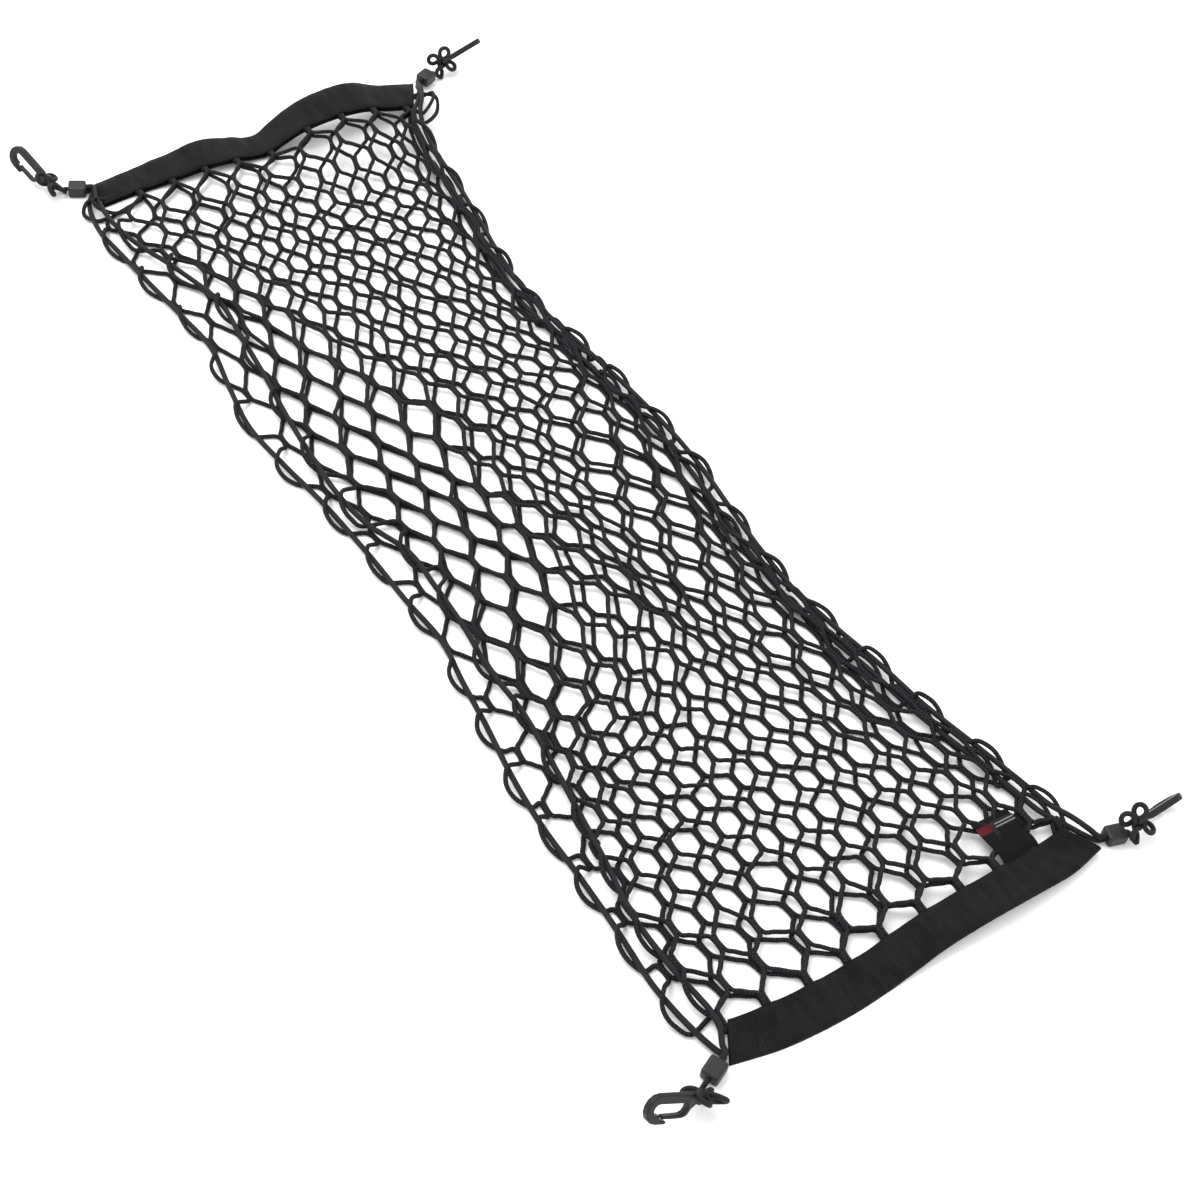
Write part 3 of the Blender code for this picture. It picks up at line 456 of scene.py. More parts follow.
def spline(xs, ys, x):
    """A smooth curve through the points (xs, ys), straight beyond its ends."""
    count = len(xs)
    i = 0
    while i < count - 2 and x > xs[i + 1]:
        i += 1
    span = xs[i + 1] - xs[i]
    before = max(i - 1, 0)
    after = min(i + 2, count - 1)
    slope0 = (ys[i + 1] - ys[before]) / (xs[i + 1] - xs[before])
    slope1 = (ys[after] - ys[i]) / (xs[after] - xs[i])
    t = (x - xs[i]) / span
    if t < 0.0:
        return ys[i] + slope0 * (x - xs[i])
    if t > 1.0:
        return ys[i + 1] + slope1 * (x - xs[i + 1])
    h00 = 2 * t**3 - 3 * t**2 + 1
    h10 = t**3 - 2 * t**2 + t
    h01 = 3 * t**2 - 2 * t**3
    h11 = t**3 - t**2
    return h00 * ys[i] + h10 * span * slope0 + h01 * ys[i + 1] + h11 * span * slope1


def column(table, index):
    """One column of a table as a list."""
    return [row[index] for row in table]


def straight(xs, ys, x):
    """Straight-line value of a table, level beyond its ends."""
    if x <= xs[0]:
        return ys[0]
    for i in range(len(xs) - 1):
        if x <= xs[i + 1]:
            return ys[i] + (ys[i + 1] - ys[i]) * (x - xs[i]) / (xs[i + 1] - xs[i])
    return ys[-1]


def band_stations(table, count):
    """Stations of a binding at even steps, each row (x_in, y_in, z_in, x_out, y_out, z_out)."""
    spots = list(range(len(table)))
    stations = []
    for i in range(count):
        t = (len(table) - 1) * i / (count - 1)
        station = [spline(spots, column(table, j), t) for j in range(6)]
        station[2] = max(station[2], 0.0)
        station[5] = max(station[5], 0.0)
        stations.append(station)
    return stations


NEAR_STATIONS = band_stations(NEAR_BAND, 60)
FAR_STATIONS = band_stations(FAR_BAND, 60)


def lift(x, y):
    """Height of the object's underside over the surface at (x, y)."""
    stations = NEAR_STATIONS if y < CENTRE_Y else FAR_STATIONS
    depth = 0.0
    for _ in range(3):
        along = [s[0] + (s[3] - s[0]) * depth for s in stations]
        y_in = straight(along, column(stations, 1), x)
        y_out = straight(along, column(stations, 4), x)
        depth = min(max((y - y_in) / (y_out - y_in), 0.0), 1.0)
    z_in = straight(along, column(stations, 2), x)
    z_out = straight(along, column(stations, 5), x)
    height = z_in + (z_out - z_in) * depth
    clear = (y - y_in) if y_in > y_out else (y_in - y)
    t = 1.0 - max(clear, 0.0) / RAMP
    if t <= -RAMP_SOFT:
        return 0.0
    if t < RAMP_SOFT:
        return height * (t + RAMP_SOFT) ** 2 / (4.0 * RAMP_SOFT)
    return height * t


def link(name, mesh, material=None):
    """A new object with that mesh in the scene."""
    item = bpy.data.objects.new(name, mesh)
    bpy.context.scene.collection.objects.link(item)
    if material is not None:
        item.data.materials.clear()
        item.data.materials.append(material)
    return item


def line_mesh(name, lines):
    """Lines of plan points as a mesh of edges."""
    points = []
    edges = []
    for run in lines:
        first = len(points)
        points += [place(p) for p in run]
        edges += [(first + i, first + i + 1) for i in range(len(run) - 1)]
    mesh = bpy.data.meshes.new(name)
    mesh.from_pydata(points, edges, [])
    return mesh


def set_inputs(modifier, tree, values):
    """Sets a Geometry Nodes modifier's inputs by the identifiers of their sockets."""
    for entry in tree.interface.items_tree:
        if entry.item_type == "SOCKET" and entry.in_out == "INPUT" and entry.name in values:
            modifier[entry.identifier] = values[entry.name]


def grow(name, lines, tree, values, body, nodes):
    """Runs a tree on lines and leaves its result as a plain mesh on the body."""
    item = link(name, line_mesh(name, lines))
    modifier = item.modifiers.new("Build", "NODES")
    modifier.node_group = tree
    set_inputs(modifier, tree, values)
    graph = bpy.context.evaluated_depsgraph_get()
    made = bpy.data.meshes.new_from_object(
        item.evaluated_get(graph), preserve_all_data_layers=True, depsgraph=graph
    )
    if not made.polygons:
        raise RuntimeError(name + " came out empty")
    item.modifiers.clear()
    rough = item.data
    item.data = made
    bpy.data.meshes.remove(rough)
    made.name = name
    return settle(item, body, nodes)


def settle(item, body, nodes):
    """Seats a finished piece on its body and lets it stand for CAD nodes."""
    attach(item, body)
    if nodes:
        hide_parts(*nodes)
    return item


# ---- geometry node trees ----------------------------------------------------------------
def new_tree(name, inputs):
    """An empty geometry tree with a geometry input and output and the named inputs."""
    tree = bpy.data.node_groups.new(name, "GeometryNodeTree")
    tree.interface.new_socket("Lines", in_out="INPUT", socket_type="NodeSocketGeometry")
    for label, kind in inputs:
        tree.interface.new_socket(label, in_out="INPUT", socket_type="NodeSocket" + kind)
    tree.interface.new_socket("Mesh", in_out="OUTPUT", socket_type="NodeSocketGeometry")
    tree.is_modifier = True
    return tree, tree.nodes.new("NodeGroupInput"), tree.nodes.new("NodeGroupOutput")


def add_node(tree, kind, **settings):
    """A node with its settings."""
    node = tree.nodes.new(kind)
    for key, value in settings.items():
        setattr(node, key, value)
    return node


def join(tree, source, target):
    """Links two sockets of a tree."""
    tree.links.new(source, target)


def chain(tree, socket, *nodes):
    """Leads a geometry through the first sockets of some nodes; returns the last output."""
    for node in nodes:
        join(tree, socket, node.inputs[0])
        socket = node.outputs[0]
    return socket


def close_tree(tree, entry, result, socket):
    """Ends a tree: smooth shading, real instances and the finish."""
    shade = add_node(tree, "GeometryNodeSetShadeSmooth")
    real = add_node(tree, "GeometryNodeRealizeInstances")
    paint = add_node(tree, "GeometryNodeSetMaterial")
    join(tree, entry.outputs["Finish"], paint.inputs["Material"])
    join(tree, chain(tree, socket, shade, real, paint), result.inputs["Mesh"])
    return tree


def tube_values(width, step, sides, knurl, finish):
    """The inputs of the tube tree."""
    return {"Radius": 0.5 * width, "Step": step, "Sides": sides, "Knurl": knurl, "Finish": finish}


def tube_tree():
    """Turns every line into a round tube; 'strand' holds the cosine, sine and length on it."""
    tree, entry, result = new_tree(
        "Tube along lines",
        (
            ("Radius", "Float"),
            ("Step", "Float"),
            ("Sides", "Int"),
            ("Knurl", "Float"),
            ("Finish", "Material"),
        ),
    )
    curve = add_node(tree, "GeometryNodeMeshToCurve")
    smooth = add_node(tree, "GeometryNodeCurveSplineType", spline_type="CATMULL_ROM")
    even = add_node(tree, "GeometryNodeResampleCurve", mode="LENGTH")
    parameter = add_node(tree, "GeometryNodeSplineParameter")
    keep_length = add_node(tree, "GeometryNodeCaptureAttribute", domain="POINT")
    keep_length.capture_items.new("FLOAT", "Length")
    index = add_node(tree, "GeometryNodeInputIndex")
    odd = add_node(tree, "ShaderNodeMath", operation="MODULO")
    swell = add_node(tree, "ShaderNodeMath", operation="MULTIPLY_ADD")
    knurl = add_node(tree, "GeometryNodeSetCurveRadius")
    ring = add_node(tree, "GeometryNodeCurvePrimitiveCircle", mode="RADIUS")
    position = add_node(tree, "GeometryNodeInputPosition")
    keep_place = add_node(tree, "GeometryNodeCaptureAttribute", domain="POINT")
    keep_place.capture_items.new("VECTOR", "Place")
    tube = add_node(tree, "GeometryNodeCurveToMesh")
    split = add_node(tree, "ShaderNodeSeparateXYZ")
    cosine = add_node(tree, "ShaderNodeMath", operation="DIVIDE")
    sine = add_node(tree, "ShaderNodeMath", operation="DIVIDE")
    combine = add_node(tree, "ShaderNodeCombineXYZ")
    store = add_node(
        tree, "GeometryNodeStoreNamedAttribute", data_type="FLOAT_VECTOR", domain="POINT"
    )

    line = chain(tree, entry.outputs["Lines"], curve, smooth, even, keep_length, knurl, tube, store)
    join(tree, entry.outputs["Step"], even.inputs["Length"])
    join(tree, parameter.outputs["Length"], keep_length.inputs["Length"])
    join(tree, entry.outputs["Sides"], ring.inputs["Resolution"])
    join(tree, entry.outputs["Radius"], ring.inputs["Radius"])
    join(tree, ring.outputs["Curve"], keep_place.inputs["Geometry"])
    join(tree, position.outputs["Position"], keep_place.inputs["Place"])
    join(tree, index.outputs["Index"], odd.inputs[0])
    odd.inputs[1].default_value = 2.0
    join(tree, odd.outputs[0], swell.inputs[0])
    join(tree, entry.outputs["Knurl"], swell.inputs[1])
    swell.inputs[2].default_value = 1.0
    join(tree, swell.outputs[0], knurl.inputs["Radius"])
    join(tree, keep_place.outputs["Geometry"], tube.inputs["Profile Curve"])
    tube.inputs["Fill Caps"].default_value = True
    join(tree, keep_place.outputs["Place"], split.inputs[0])
    join(tree, split.outputs["X"], cosine.inputs[0])
    join(tree, entry.outputs["Radius"], cosine.inputs[1])
    join(tree, split.outputs["Y"], sine.inputs[0])
    join(tree, entry.outputs["Radius"], sine.inputs[1])
    join(tree, cosine.outputs[0], combine.inputs["X"])
    join(tree, sine.outputs[0], combine.inputs["Y"])
    join(tree, keep_length.outputs["Length"], combine.inputs["Z"])
    store.inputs["Name"].default_value = "strand"
    join(tree, combine.outputs[0], store.inputs["Value"])
    return close_tree(tree, entry, result, line)


def stitch_tree():
    """Lays short bowed stitches end to end along every line."""
    tree, entry, result = new_tree(
        "Stitches along lines",
        (("Pitch", "Float"), ("Length", "Float"), ("Thread", "Float"), ("Finish", "Material")),
    )
    curve = add_node(tree, "GeometryNodeMeshToCurve")
    even = add_node(tree, "GeometryNodeResampleCurve", mode="LENGTH")
    tangent = add_node(tree, "GeometryNodeInputTangent")
    turn = add_node(tree, "FunctionNodeAlignRotationToVector", axis="X")
    bead = add_node(tree, "GeometryNodeMeshUVSphere")
    size = add_node(tree, "ShaderNodeCombineXYZ")
    shape = add_node(tree, "GeometryNodeTransform")
    copies = add_node(tree, "GeometryNodeInstanceOnPoints")

    line = chain(tree, entry.outputs["Lines"], curve, even, copies)
    join(tree, entry.outputs["Pitch"], even.inputs["Length"])
    join(tree, tangent.outputs["Tangent"], turn.inputs["Vector"])
    join(tree, turn.outputs["Rotation"], copies.inputs["Rotation"])
    bead.inputs["Segments"].default_value = 8
    bead.inputs["Rings"].default_value = 6
    bead.inputs["Radius"].default_value = 0.5
    join(tree, entry.outputs["Length"], size.inputs["X"])
    join(tree, entry.outputs["Thread"], size.inputs["Y"])
    join(tree, entry.outputs["Thread"], size.inputs["Z"])
    join(tree, bead.outputs["Mesh"], shape.inputs["Geometry"])
    join(tree, size.outputs[0], shape.inputs["Scale"])
    join(tree, shape.outputs["Geometry"], copies.inputs["Instance"])
    return close_tree(tree, entry, result, line)


# ---- finishes ---------------------------------------------------------------------------
def new_finish(name, colour, roughness, specular=0.5, sheen=0.0):
    """A Principled material; returns it with its tree and shader."""
    made = bpy.data.materials.new(name)
    made.use_nodes = True
    made.diffuse_color = (*colour, 1.0)
    tree = made.node_tree
    shader = tree.nodes["Principled BSDF"]
    shader.inputs["Base Color"].default_value = (*colour, 1.0)
    shader.inputs["Roughness"].default_value = roughness
    shader.inputs["Specular IOR Level"].default_value = specular
    shader.inputs["Sheen Weight"].default_value = sheen
    shader.inputs["Sheen Roughness"].default_value = 0.5
    return made, tree, shader


def number(tree, operation, first, second=None):
    """A Math node on sockets or plain numbers."""
    node = add_node(tree, "ShaderNodeMath", operation=operation)
    for slot, value in zip(node.inputs, (first, second)):
        if isinstance(value, (int, float)):
            slot.default_value = value
        elif value is not None:
            join(tree, value, slot)
    return node.outputs[0]


def wave(tree, socket, turns):
    """A sine of a socket, with so many turns over 1."""
    return number(tree, "SINE", number(tree, "MULTIPLY", socket, 2.0 * math.pi * turns))


def ranged(tree, value, low, high, start=0.0, end=1.0):
    """Maps a socket's values from start and end to low and high."""
    node = add_node(tree, "ShaderNodeMapRange")
    for label, bound in (("From Min", start), ("From Max", end), ("To Min", low), ("To Max", high)):
        node.inputs[label].default_value = bound
    join(tree, value, node.inputs["Value"])
    return node.outputs["Result"]


def darken(tree, shader, colour, factor):
    """Gives the shader a colour multiplied by a grey factor; here that factor is painted shade and painted
    light.
    """
    mix = add_node(tree, "ShaderNodeMix", data_type="RGBA", blend_type="MULTIPLY")
    mix.inputs["Factor"].default_value = 1.0
    join(tree, colour, mix.inputs["A"])
    join(tree, factor, mix.inputs["B"])
    join(tree, mix.outputs["Result"], shader.inputs["Base Color"])


def mottle(tree, shader, colour, scale, amount):
    """Small uneven changes of the colour over the piece."""
    coordinates = add_node(tree, "ShaderNodeTexCoord")
    grain = add_node(tree, "ShaderNodeTexNoise")
    grain.inputs["Scale"].default_value = scale
    grain.inputs["Detail"].default_value = 4.0
    ramp = add_node(tree, "ShaderNodeMix", data_type="RGBA")
    ramp.inputs["A"].default_value = (*[c * (1.0 - amount) for c in colour], 1.0)
    ramp.inputs["B"].default_value = (*[min(c * (1.0 + amount), 1.0) for c in colour], 1.0)
    join(tree, coordinates.outputs["Object"], grain.inputs["Vector"])
    join(tree, grain.outputs["Fac"], ramp.inputs["Factor"])
    join(tree, ramp.outputs["Result"], shader.inputs["Base Color"])
    return coordinates, ramp


def add_bump(tree, shader, height, strength, distance):
    """Relief of the surface from a height socket; distance is in metres."""
    bump = add_node(tree, "ShaderNodeBump")
    bump.inputs["Strength"].default_value = strength
    bump.inputs["Distance"].default_value = distance
    join(tree, height, bump.inputs["Height"])
    join(tree, bump.outputs["Normal"], shader.inputs["Normal"])
    return bump


def braid_finish(name, colour, roughness, lay, starts, depth, sheen):
    """Braided cord: two crossing sets of strands, with painted shade between them and painted light on them;
    lay is the length of one turn in metres.
    """
    made, tree, shader = new_finish(name, colour, roughness, 0.13, sheen)
    strand = add_node(tree, "ShaderNodeAttribute", attribute_name="strand")
    parts = add_node(tree, "ShaderNodeSeparateXYZ")
    join(tree, strand.outputs["Vector"], parts.inputs[0])
    around = number(tree, "ARCTAN2", parts.outputs["Y"], parts.outputs["X"])
    turns = number(tree, "MULTIPLY", around, float(starts))
    along = number(tree, "MULTIPLY", parts.outputs["Z"], 2.0 * math.pi * starts / lay)
    one = number(tree, "SINE", number(tree, "ADD", turns, along))
    two = number(tree, "SINE", number(tree, "SUBTRACT", turns, along))
    height = number(tree, "MAXIMUM", one, two)
    add_bump(tree, shader, height, 1.0, depth)
    _, shades = mottle(tree, shader, colour, 240.0, 0.18)
    # painted shade in the hollows between the strands and painted light on their tops
    darken(tree, shader, shades.outputs["Result"], ranged(tree, height, *BRAID_PAINTED_SHADE_AND_LIGHT, start=-1.0))
    return made


def webbing_finish(name, colour, rib_pitch, rib_depth, crease_depth):
    """Ribbed webbing: ribs across its width, fine thread along each rib, and shallow creases, with painted
    shade in them and painted highlight on their ridges.
    """
    made, tree, shader = new_finish(name, colour, 0.62, 0.15, 0.0)
    uv = add_node(tree, "ShaderNodeUVMap", uv_map="cloth")
    parts = add_node(tree, "ShaderNodeSeparateXYZ")
    join(tree, uv.outputs["UV"], parts.inputs[0])
    ribs = wave(tree, parts.outputs["X"], 1.0 / rib_pitch)
    threads = wave(tree, parts.outputs["Y"], 1.0 / (THREAD_PITCH * rib_pitch))
    weave = number(tree, "MULTIPLY", threads, THREAD_DEPTH)
    stretch = add_node(tree, "ShaderNodeMapping")
    stretch.inputs["Scale"].default_value = CREASE_SCALE
    join(tree, uv.outputs["UV"], stretch.inputs["Vector"])
    crease = add_node(tree, "ShaderNodeTexNoise")
    crease.inputs["Scale"].default_value = 1.0
    crease.inputs["Detail"].default_value = 3.0
    crease.inputs["Distortion"].default_value = 0.8
    join(tree, stretch.outputs["Vector"], crease.inputs["Vector"])
    folds = number(tree, "MULTIPLY", crease.outputs["Fac"], crease_depth / rib_depth)
    height = number(tree, "ADD", number(tree, "ADD", ribs, weave), folds)
    add_bump(tree, shader, height, 1.0, rib_depth)
    _, grain = mottle(tree, shader, colour, 90.0, 0.22)
    # painted shade in the creases and painted highlight on their ridges
    darken(tree, shader, grain.outputs["Result"], ranged(tree, crease.outputs["Fac"], *CREASE_PAINTED_SHADE_AND_LIGHT))
    return made


def moulded_finish(name, colour, roughness, grain):
    """Satin moulded plastic with a faint grain and softly uneven gloss."""
    made, tree, shader = new_finish(name, colour, roughness, 0.26, 0.0)
    coordinates, _ = mottle(tree, shader, colour, 160.0, 0.12)
    fine = add_node(tree, "ShaderNodeTexNoise")
    fine.inputs["Scale"].default_value = 1400.0
    fine.inputs["Detail"].default_value = 3.0
    join(tree, coordinates.outputs["Object"], fine.inputs["Vector"])
    add_bump(tree, shader, fine.outputs["Fac"], 0.5, grain)
    gloss = ranged(tree, fine.outputs["Fac"], roughness - GLOSS_LESS, roughness + GLOSS_MORE)
    join(tree, gloss, shader.inputs["Roughness"])
    return made


def label_finish(name, ground, red, pale):
    """Woven label: dark ground and a stripe of a red bar and pale lines."""
    made, tree, shader = new_finish(name, ground, 0.60, 0.08, 0.0)
    uv = add_node(tree, "ShaderNodeUVMap", uv_map="cloth")
    parts = add_node(tree, "ShaderNodeSeparateXYZ")
    join(tree, uv.outputs["UV"], parts.inputs[0])
    across, along = parts.outputs["X"], parts.outputs["Y"]
    low = number(tree, "GREATER_THAN", along, LABEL_BAR[0])
    high = number(tree, "LESS_THAN", along, LABEL_BAR[1])
    stripe = number(tree, "MULTIPLY", low, high)
    left = number(tree, "LESS_THAN", across, LABEL_RED)
    in_red = number(tree, "MULTIPLY", stripe, left)
    line = number(tree, "GREATER_THAN", wave(tree, along, LABEL_LINES), LABEL_LINE_FROM)
    right = number(tree, "SUBTRACT", 1.0, left)
    in_pale = number(tree, "MULTIPLY", number(tree, "MULTIPLY", stripe, right), line)
    _, ground_mix = mottle(tree, shader, ground, 300.0, 0.2)
    first = add_node(tree, "ShaderNodeMix", data_type="RGBA")
    first.inputs["B"].default_value = (*red, 1.0)
    second = add_node(tree, "ShaderNodeMix", data_type="RGBA")
    second.inputs["B"].default_value = (*pale, 1.0)
    join(tree, in_red, first.inputs["Factor"])
    join(tree, ground_mix.outputs["Result"], first.inputs["A"])
    join(tree, in_pale, second.inputs["Factor"])
    join(tree, first.outputs["Result"], second.inputs["A"])
    join(tree, second.outputs["Result"], shader.inputs["Base Color"])
    weave = number(tree, "MULTIPLY", wave(tree, across, LABEL_WEAVE), wave(tree, along, LABEL_WEAVE))
    add_bump(tree, shader, weave, 0.7, 0.00006)
    return made


def finishes(scene):
    """Every finish by its record slot, made once."""
    wanted = {"twine", "webbing", "elastic", "plastic", "bead", "woven", "thread"}
    if wanted <= set(m.get("cargo_slot", "") for m in bpy.data.materials):
        return {m["cargo_slot"]: m for m in bpy.data.materials if "cargo_slot" in m}
    colours = scene.cargo_colours
    made = {
        "twine": braid_finish("Netting twine", colours.twine, 0.62, 0.0048, 2, 0.00040, 0.0),
        "elastic": braid_finish("Elastic cord", colours.elastic, 0.50, 0.0060, 6, 0.00010, 0.0),
        "webbing": webbing_finish("Ribbed webbing", colours.webbing, 0.0018, 0.00026, 0.0030),
        "plastic": moulded_finish("Hook plastic", colours.hook, 0.36, 0.00003),
        "bead": moulded_finish("Bead plastic", colours.bead, 0.42, 0.00003),
        "woven": label_finish("Woven label", colours.label, colours.label_red, colours.label_pale),
        "thread": new_finish("Sewing thread", colours.twine, 0.6, 0.15, 0.0)[0],
    }
    mottle(
        made["thread"].node_tree,
        made["thread"].node_tree.nodes["Principled BSDF"],
        colours.twine,
        500.0,
        0.3,
    )
    for slot, material in made.items():
        material["cargo_slot"] = slot
    return made


# ---- routes -----------------------------------------------------------------------------
def route_x(cord_column, y):
    """Plan x of an edge cord where it runs through the netting."""
    return spline(column(CORD_ROUTE, 0), column(CORD_ROUTE, cord_column), y)


def bead_entry(corner, side):
    """The last points of a cord at the back of its bead, the end inside it first."""
    _, x, y, z, heading = next(row for row in CORNERS if row[0] == corner)[:5]
    ahead = (math.cos(math.radians(heading)), math.sin(math.radians(heading)))
    points = []
    for run in (-BEAD_INSIDE, BEAD_GAP, BEAD_GAP + BEAD_LEAD):
        back = BEAD_HALF + run
        points.append((x - ahead[0] * back, y - ahead[1] * back, z + side * BEAD_RISE))
    return points


def cord_points(row):
    """The whole line of an edge cord, from bead to bead."""
    name, place_in_route, height, near_bead, far_bead, side, _ = row
    near = bead_entry(near_bead, side) + [r[2:] for r in CORD_ENDS if r[:2] == (name, "near")]
    far = [r[2:] for r in CORD_ENDS if r[:2] == (name, "far")] + bead_entry(far_bead, side)[::-1]
    middle = []
    for stop in CORD_ROUTE:
        x = stop[place_in_route]
        middle.append((x, stop[0], lift(x, stop[0]) + height))
    return near + middle + far


# ---- netting ----------------------------------------------------------------------------
def row_y(row, x):
    """Plan y of a row of joints at x."""
    rows = column(ROW_Y, 0)
    at_left = spline(rows, column(ROW_Y, 1), row)
    at_right = spline(rows, column(ROW_Y, 2), row)
    share = min(max((x - ROW_LEFT_X) / (ROW_RIGHT_X - ROW_LEFT_X), 0.0), 1.0)
    return at_left + (at_right - at_left) * share * share * (3.0 - 2.0 * share)


def joint_x(table, row, spot):
    """Plan x of the joint at column spot in a row of a layer."""
    keys = [spline(column(table, 0), column(table, i + 1), row) for i in range(len(JOINT_COLUMNS))]
    return spline(JOINT_COLUMNS, keys, spot)


def held_joints(row):
    """Plan x of the joints that go into the near binding (row 0) or the far one (the last row)."""
    if row == 0:
        return [joint_x(LOWER_JOINTS, row, c) for c in range(COLUMNS)]
    return [joint_x(LOWER_JOINTS, row, c + 0.5) for c in range(COLUMNS - 1)]


def band_edge(row, x):
    """Plan y of the inner edge of the binding that a first or last row goes into."""
    stations = NEAR_STATIONS if row == 0 else FAR_STATIONS
    return straight(column(stations, 0), column(stations, 1), x)


def crossing(name, x, y):
    """How far the upper layer lies higher where it crosses the lower layer's right cord."""
    if name == "net_lower":
        return 0.0
    inwards = max(route_x(RIGHT_UNDER, y) - x, 0.0)
    share = max(1.0 - inwards / CROSSING, 0.0)
    return CROSSING_RISE * share * share * (3.0 - 2.0 * share)


def edge_mesh(x, y, reach, cord_height):
    """The points of a twine round an edge cord at (x, y): in under it, out, and back over it."""
    return [
        (x + out * reach, y + along * LOOP_STEP, cord_height + up * LOOP_OVER)
        for out, along, up in LOOP_SHAPE
    ]


def straight_leg(start, end):
    """Two points that keep a leg straight between its joints."""
    return [tuple(a + (b - a) * share for a, b in zip(start, end)) for share in LEG_STRAIGHT]


def strand_points(layer, strand, shifts):
    """One twine from the near binding to the far one, zigzagging between its joints."""
    name, table, height, held, left, right, sizes = layer
    half = 0.5 * sizes.joint / MM
    beside = JOINT_CLOSE * sizes.twine / MM
    side = -1.0 if strand % 2 == 0 else 1.0
    points = []
    loops = set()
    for row in range(ROWS + 1):
        if row % 2 == 0:
            spot = strand // 2
            aside = side * beside
        else:
            spot = strand / 2.0 if strand % 2 else strand / 2.0 - 0.5
            aside = -side * beside
        outside = "left" if spot < 0 else "right" if spot > COLUMNS - 1 else ""
        if outside and row == ROWS:
            points += [stop[2:] for stop in END_LOOPS if stop[:2] == (name, outside)]
            continue
        if outside:
            loops.add(row)
            cord_column, cord_height = left if spot < 0 else right
            _, dy, share = shifts[(row, spot)]
            guess = route_x(cord_column, row_y(row, 0.0 if spot < 0 else ROW_RIGHT_X))
            y = row_y(row, guess) + dy
            reach = LOOP_CLEAR + (LOOP_OUT_LEFT if spot < 0 else LOOP_OUT_RIGHT) * share
            reach *= -1.0 if spot < 0 else 1.0
            points += edge_mesh(route_x(cord_column, y), y, reach, cord_height)
            continue
        x = joint_x(table, row, spot)
        if row in (0, ROWS):
            sign = 1.0 if row == 0 else -1.0
            edge = band_edge(row, x)
            stub = [
                (x + aside, edge - sign * JOINT_HOLD, HELD_SINK * held),
                (x + aside, edge, held),
                (x + aside, edge + sign * STUB, height),
            ]
            points += stub if row == 0 else stub[::-1]
            continue
        y = row_y(row, x)
        before = joint_x(table, row - 1, spot)
        after = joint_x(table, row + 1, spot)
        slope = (after - before) / (row_y(row + 1, after) - row_y(row - 1, before))
        dx, dy, _ = shifts[(row, spot)]
        joint = []
        for run in (-half, half):
            at = x + dx + aside + slope * run
            joint.append((at, y + dy + run, height + crossing(name, at, y + dy + run)))
        if row - 1 not in loops:
            points += straight_leg(points[-1], joint[0])
        points += joint
    return [(x, y, lift(x, y) + z) for x, y, z in points]


def layer_lines(layer, sizes, seed):
    """Every twine of one layer of netting; both layers share the places of their right edge meshes."""
    chance = random.Random(seed)
    shared = random.Random(sizes.seed)
    spread = sizes.uneven / MM
    shifts = {}
    for row in range(ROWS + 1):
        spots = [float(c) for c in range(COLUMNS)]
        if row % 2:
            spots = [c - 0.5 for c in range(COLUMNS + 1)]
        for spot in spots:
            source = shared if spot > COLUMNS - 1 else chance
            shifts[(row, spot)] = (
                source.uniform(-spread, spread),
                source.uniform(-spread, spread),
                source.random(),
            )
    return [strand_points(layer + (sizes,), strand, shifts) for strand in range(2 * COLUMNS)]


class CARGONET_OT_netting(bpy.types.Operator):
    """Makes both layers of knotless netting"""

    bl_idname = "cargonet.netting"
    bl_label = "Netting"

    def execute(self, context):
        sizes = context.scene.cargo_sizes
        looks = finishes(context.scene)
        tree = tube_tree()
        knurl = sizes.twine_knurl
        values = tube_values(sizes.twine, sizes.twine_step, sizes.twine_sides, knurl, looks["twine"])
        routes = {row[0]: (row[1], row[2]) for row in CORDS}
        for name, table, height, held, left, right, seed in (
            ("net_lower", LOWER_JOINTS, LOWER_Z, HELD_LOWER_Z, "left_under", "right_under", 0),
            ("net_upper", UPPER_JOINTS, UPPER_Z, HELD_UPPER_Z, "left_over", "right_over", 1),
        ):
            layer = (name, table, height, held, routes[left], routes[right])
            lines = layer_lines(layer, sizes, sizes.seed + seed)
            item = grow("dressed_" + name, lines, tree, values, "root", [name])
        bpy.data.node_groups.remove(tree)
        return {"FINISHED"}


class CARGONET_OT_cords(bpy.types.Operator):
    """Makes the four elastic cords through the edge meshes"""

    bl_idname = "cargonet.cords"
    bl_label = "Edge cords"

    def execute(self, context):
        sizes = context.scene.cargo_sizes
        looks = finishes(context.scene)
        tree = tube_tree()
        values = tube_values(sizes.cord, sizes.cord_step, CORD_SIDES, 0.0, looks["elastic"])
        for row in CORDS:
            grow("dressed_" + row[6], [cord_points(row)], tree, values, "root", [row[6]])
        bpy.data.node_groups.remove(tree)
        return {"FINISHED"}


# ---- bindings ---------------------------------------------------------------------------
def band_point(station, depth, top, entries):
    """A point of a binding's lower or upper ply; depth runs from the inner edge to the fold."""
    x_in, y_in, z_in, x_out, y_out, z_out = station
    x = x_in + (x_out - x_in) * depth
    y = y_in + (y_out - y_in) * depth
    z = z_in + (z_out - z_in) * depth + BAND_LOW
    if top:
        near = min(abs(x - e) for e in entries)
        swelling = BAND_SWELL * math.exp(-((near / BAND_SWELL_X) ** 2))
        swelling *= max(1.0 - depth / BAND_SWELL_DEPTH, 0.0) ** 1.5
        nose = math.sqrt(max(1.0 - depth**BAND_NOSE_POWER, 0.0))
        across, along, slant = BAND_PUCKER_WAVE
        pucker = noise.noise(Vector((x / across, y / along + x / slant, 3.7)))
        fine = noise.noise(Vector((x / BAND_FINE_WAVE[0], y / BAND_FINE_WAVE[1], 8.1)))
        z += (BAND_OPEN * (1.0 - BAND_CLOSE * depth) + swelling) * nose
        begin = min(depth / BAND_PUCKER_FROM, 1.0)
        z += BAND_PUCKER * (pucker + BAND_FINE * fine) * nose * begin
    return (x, y, z)


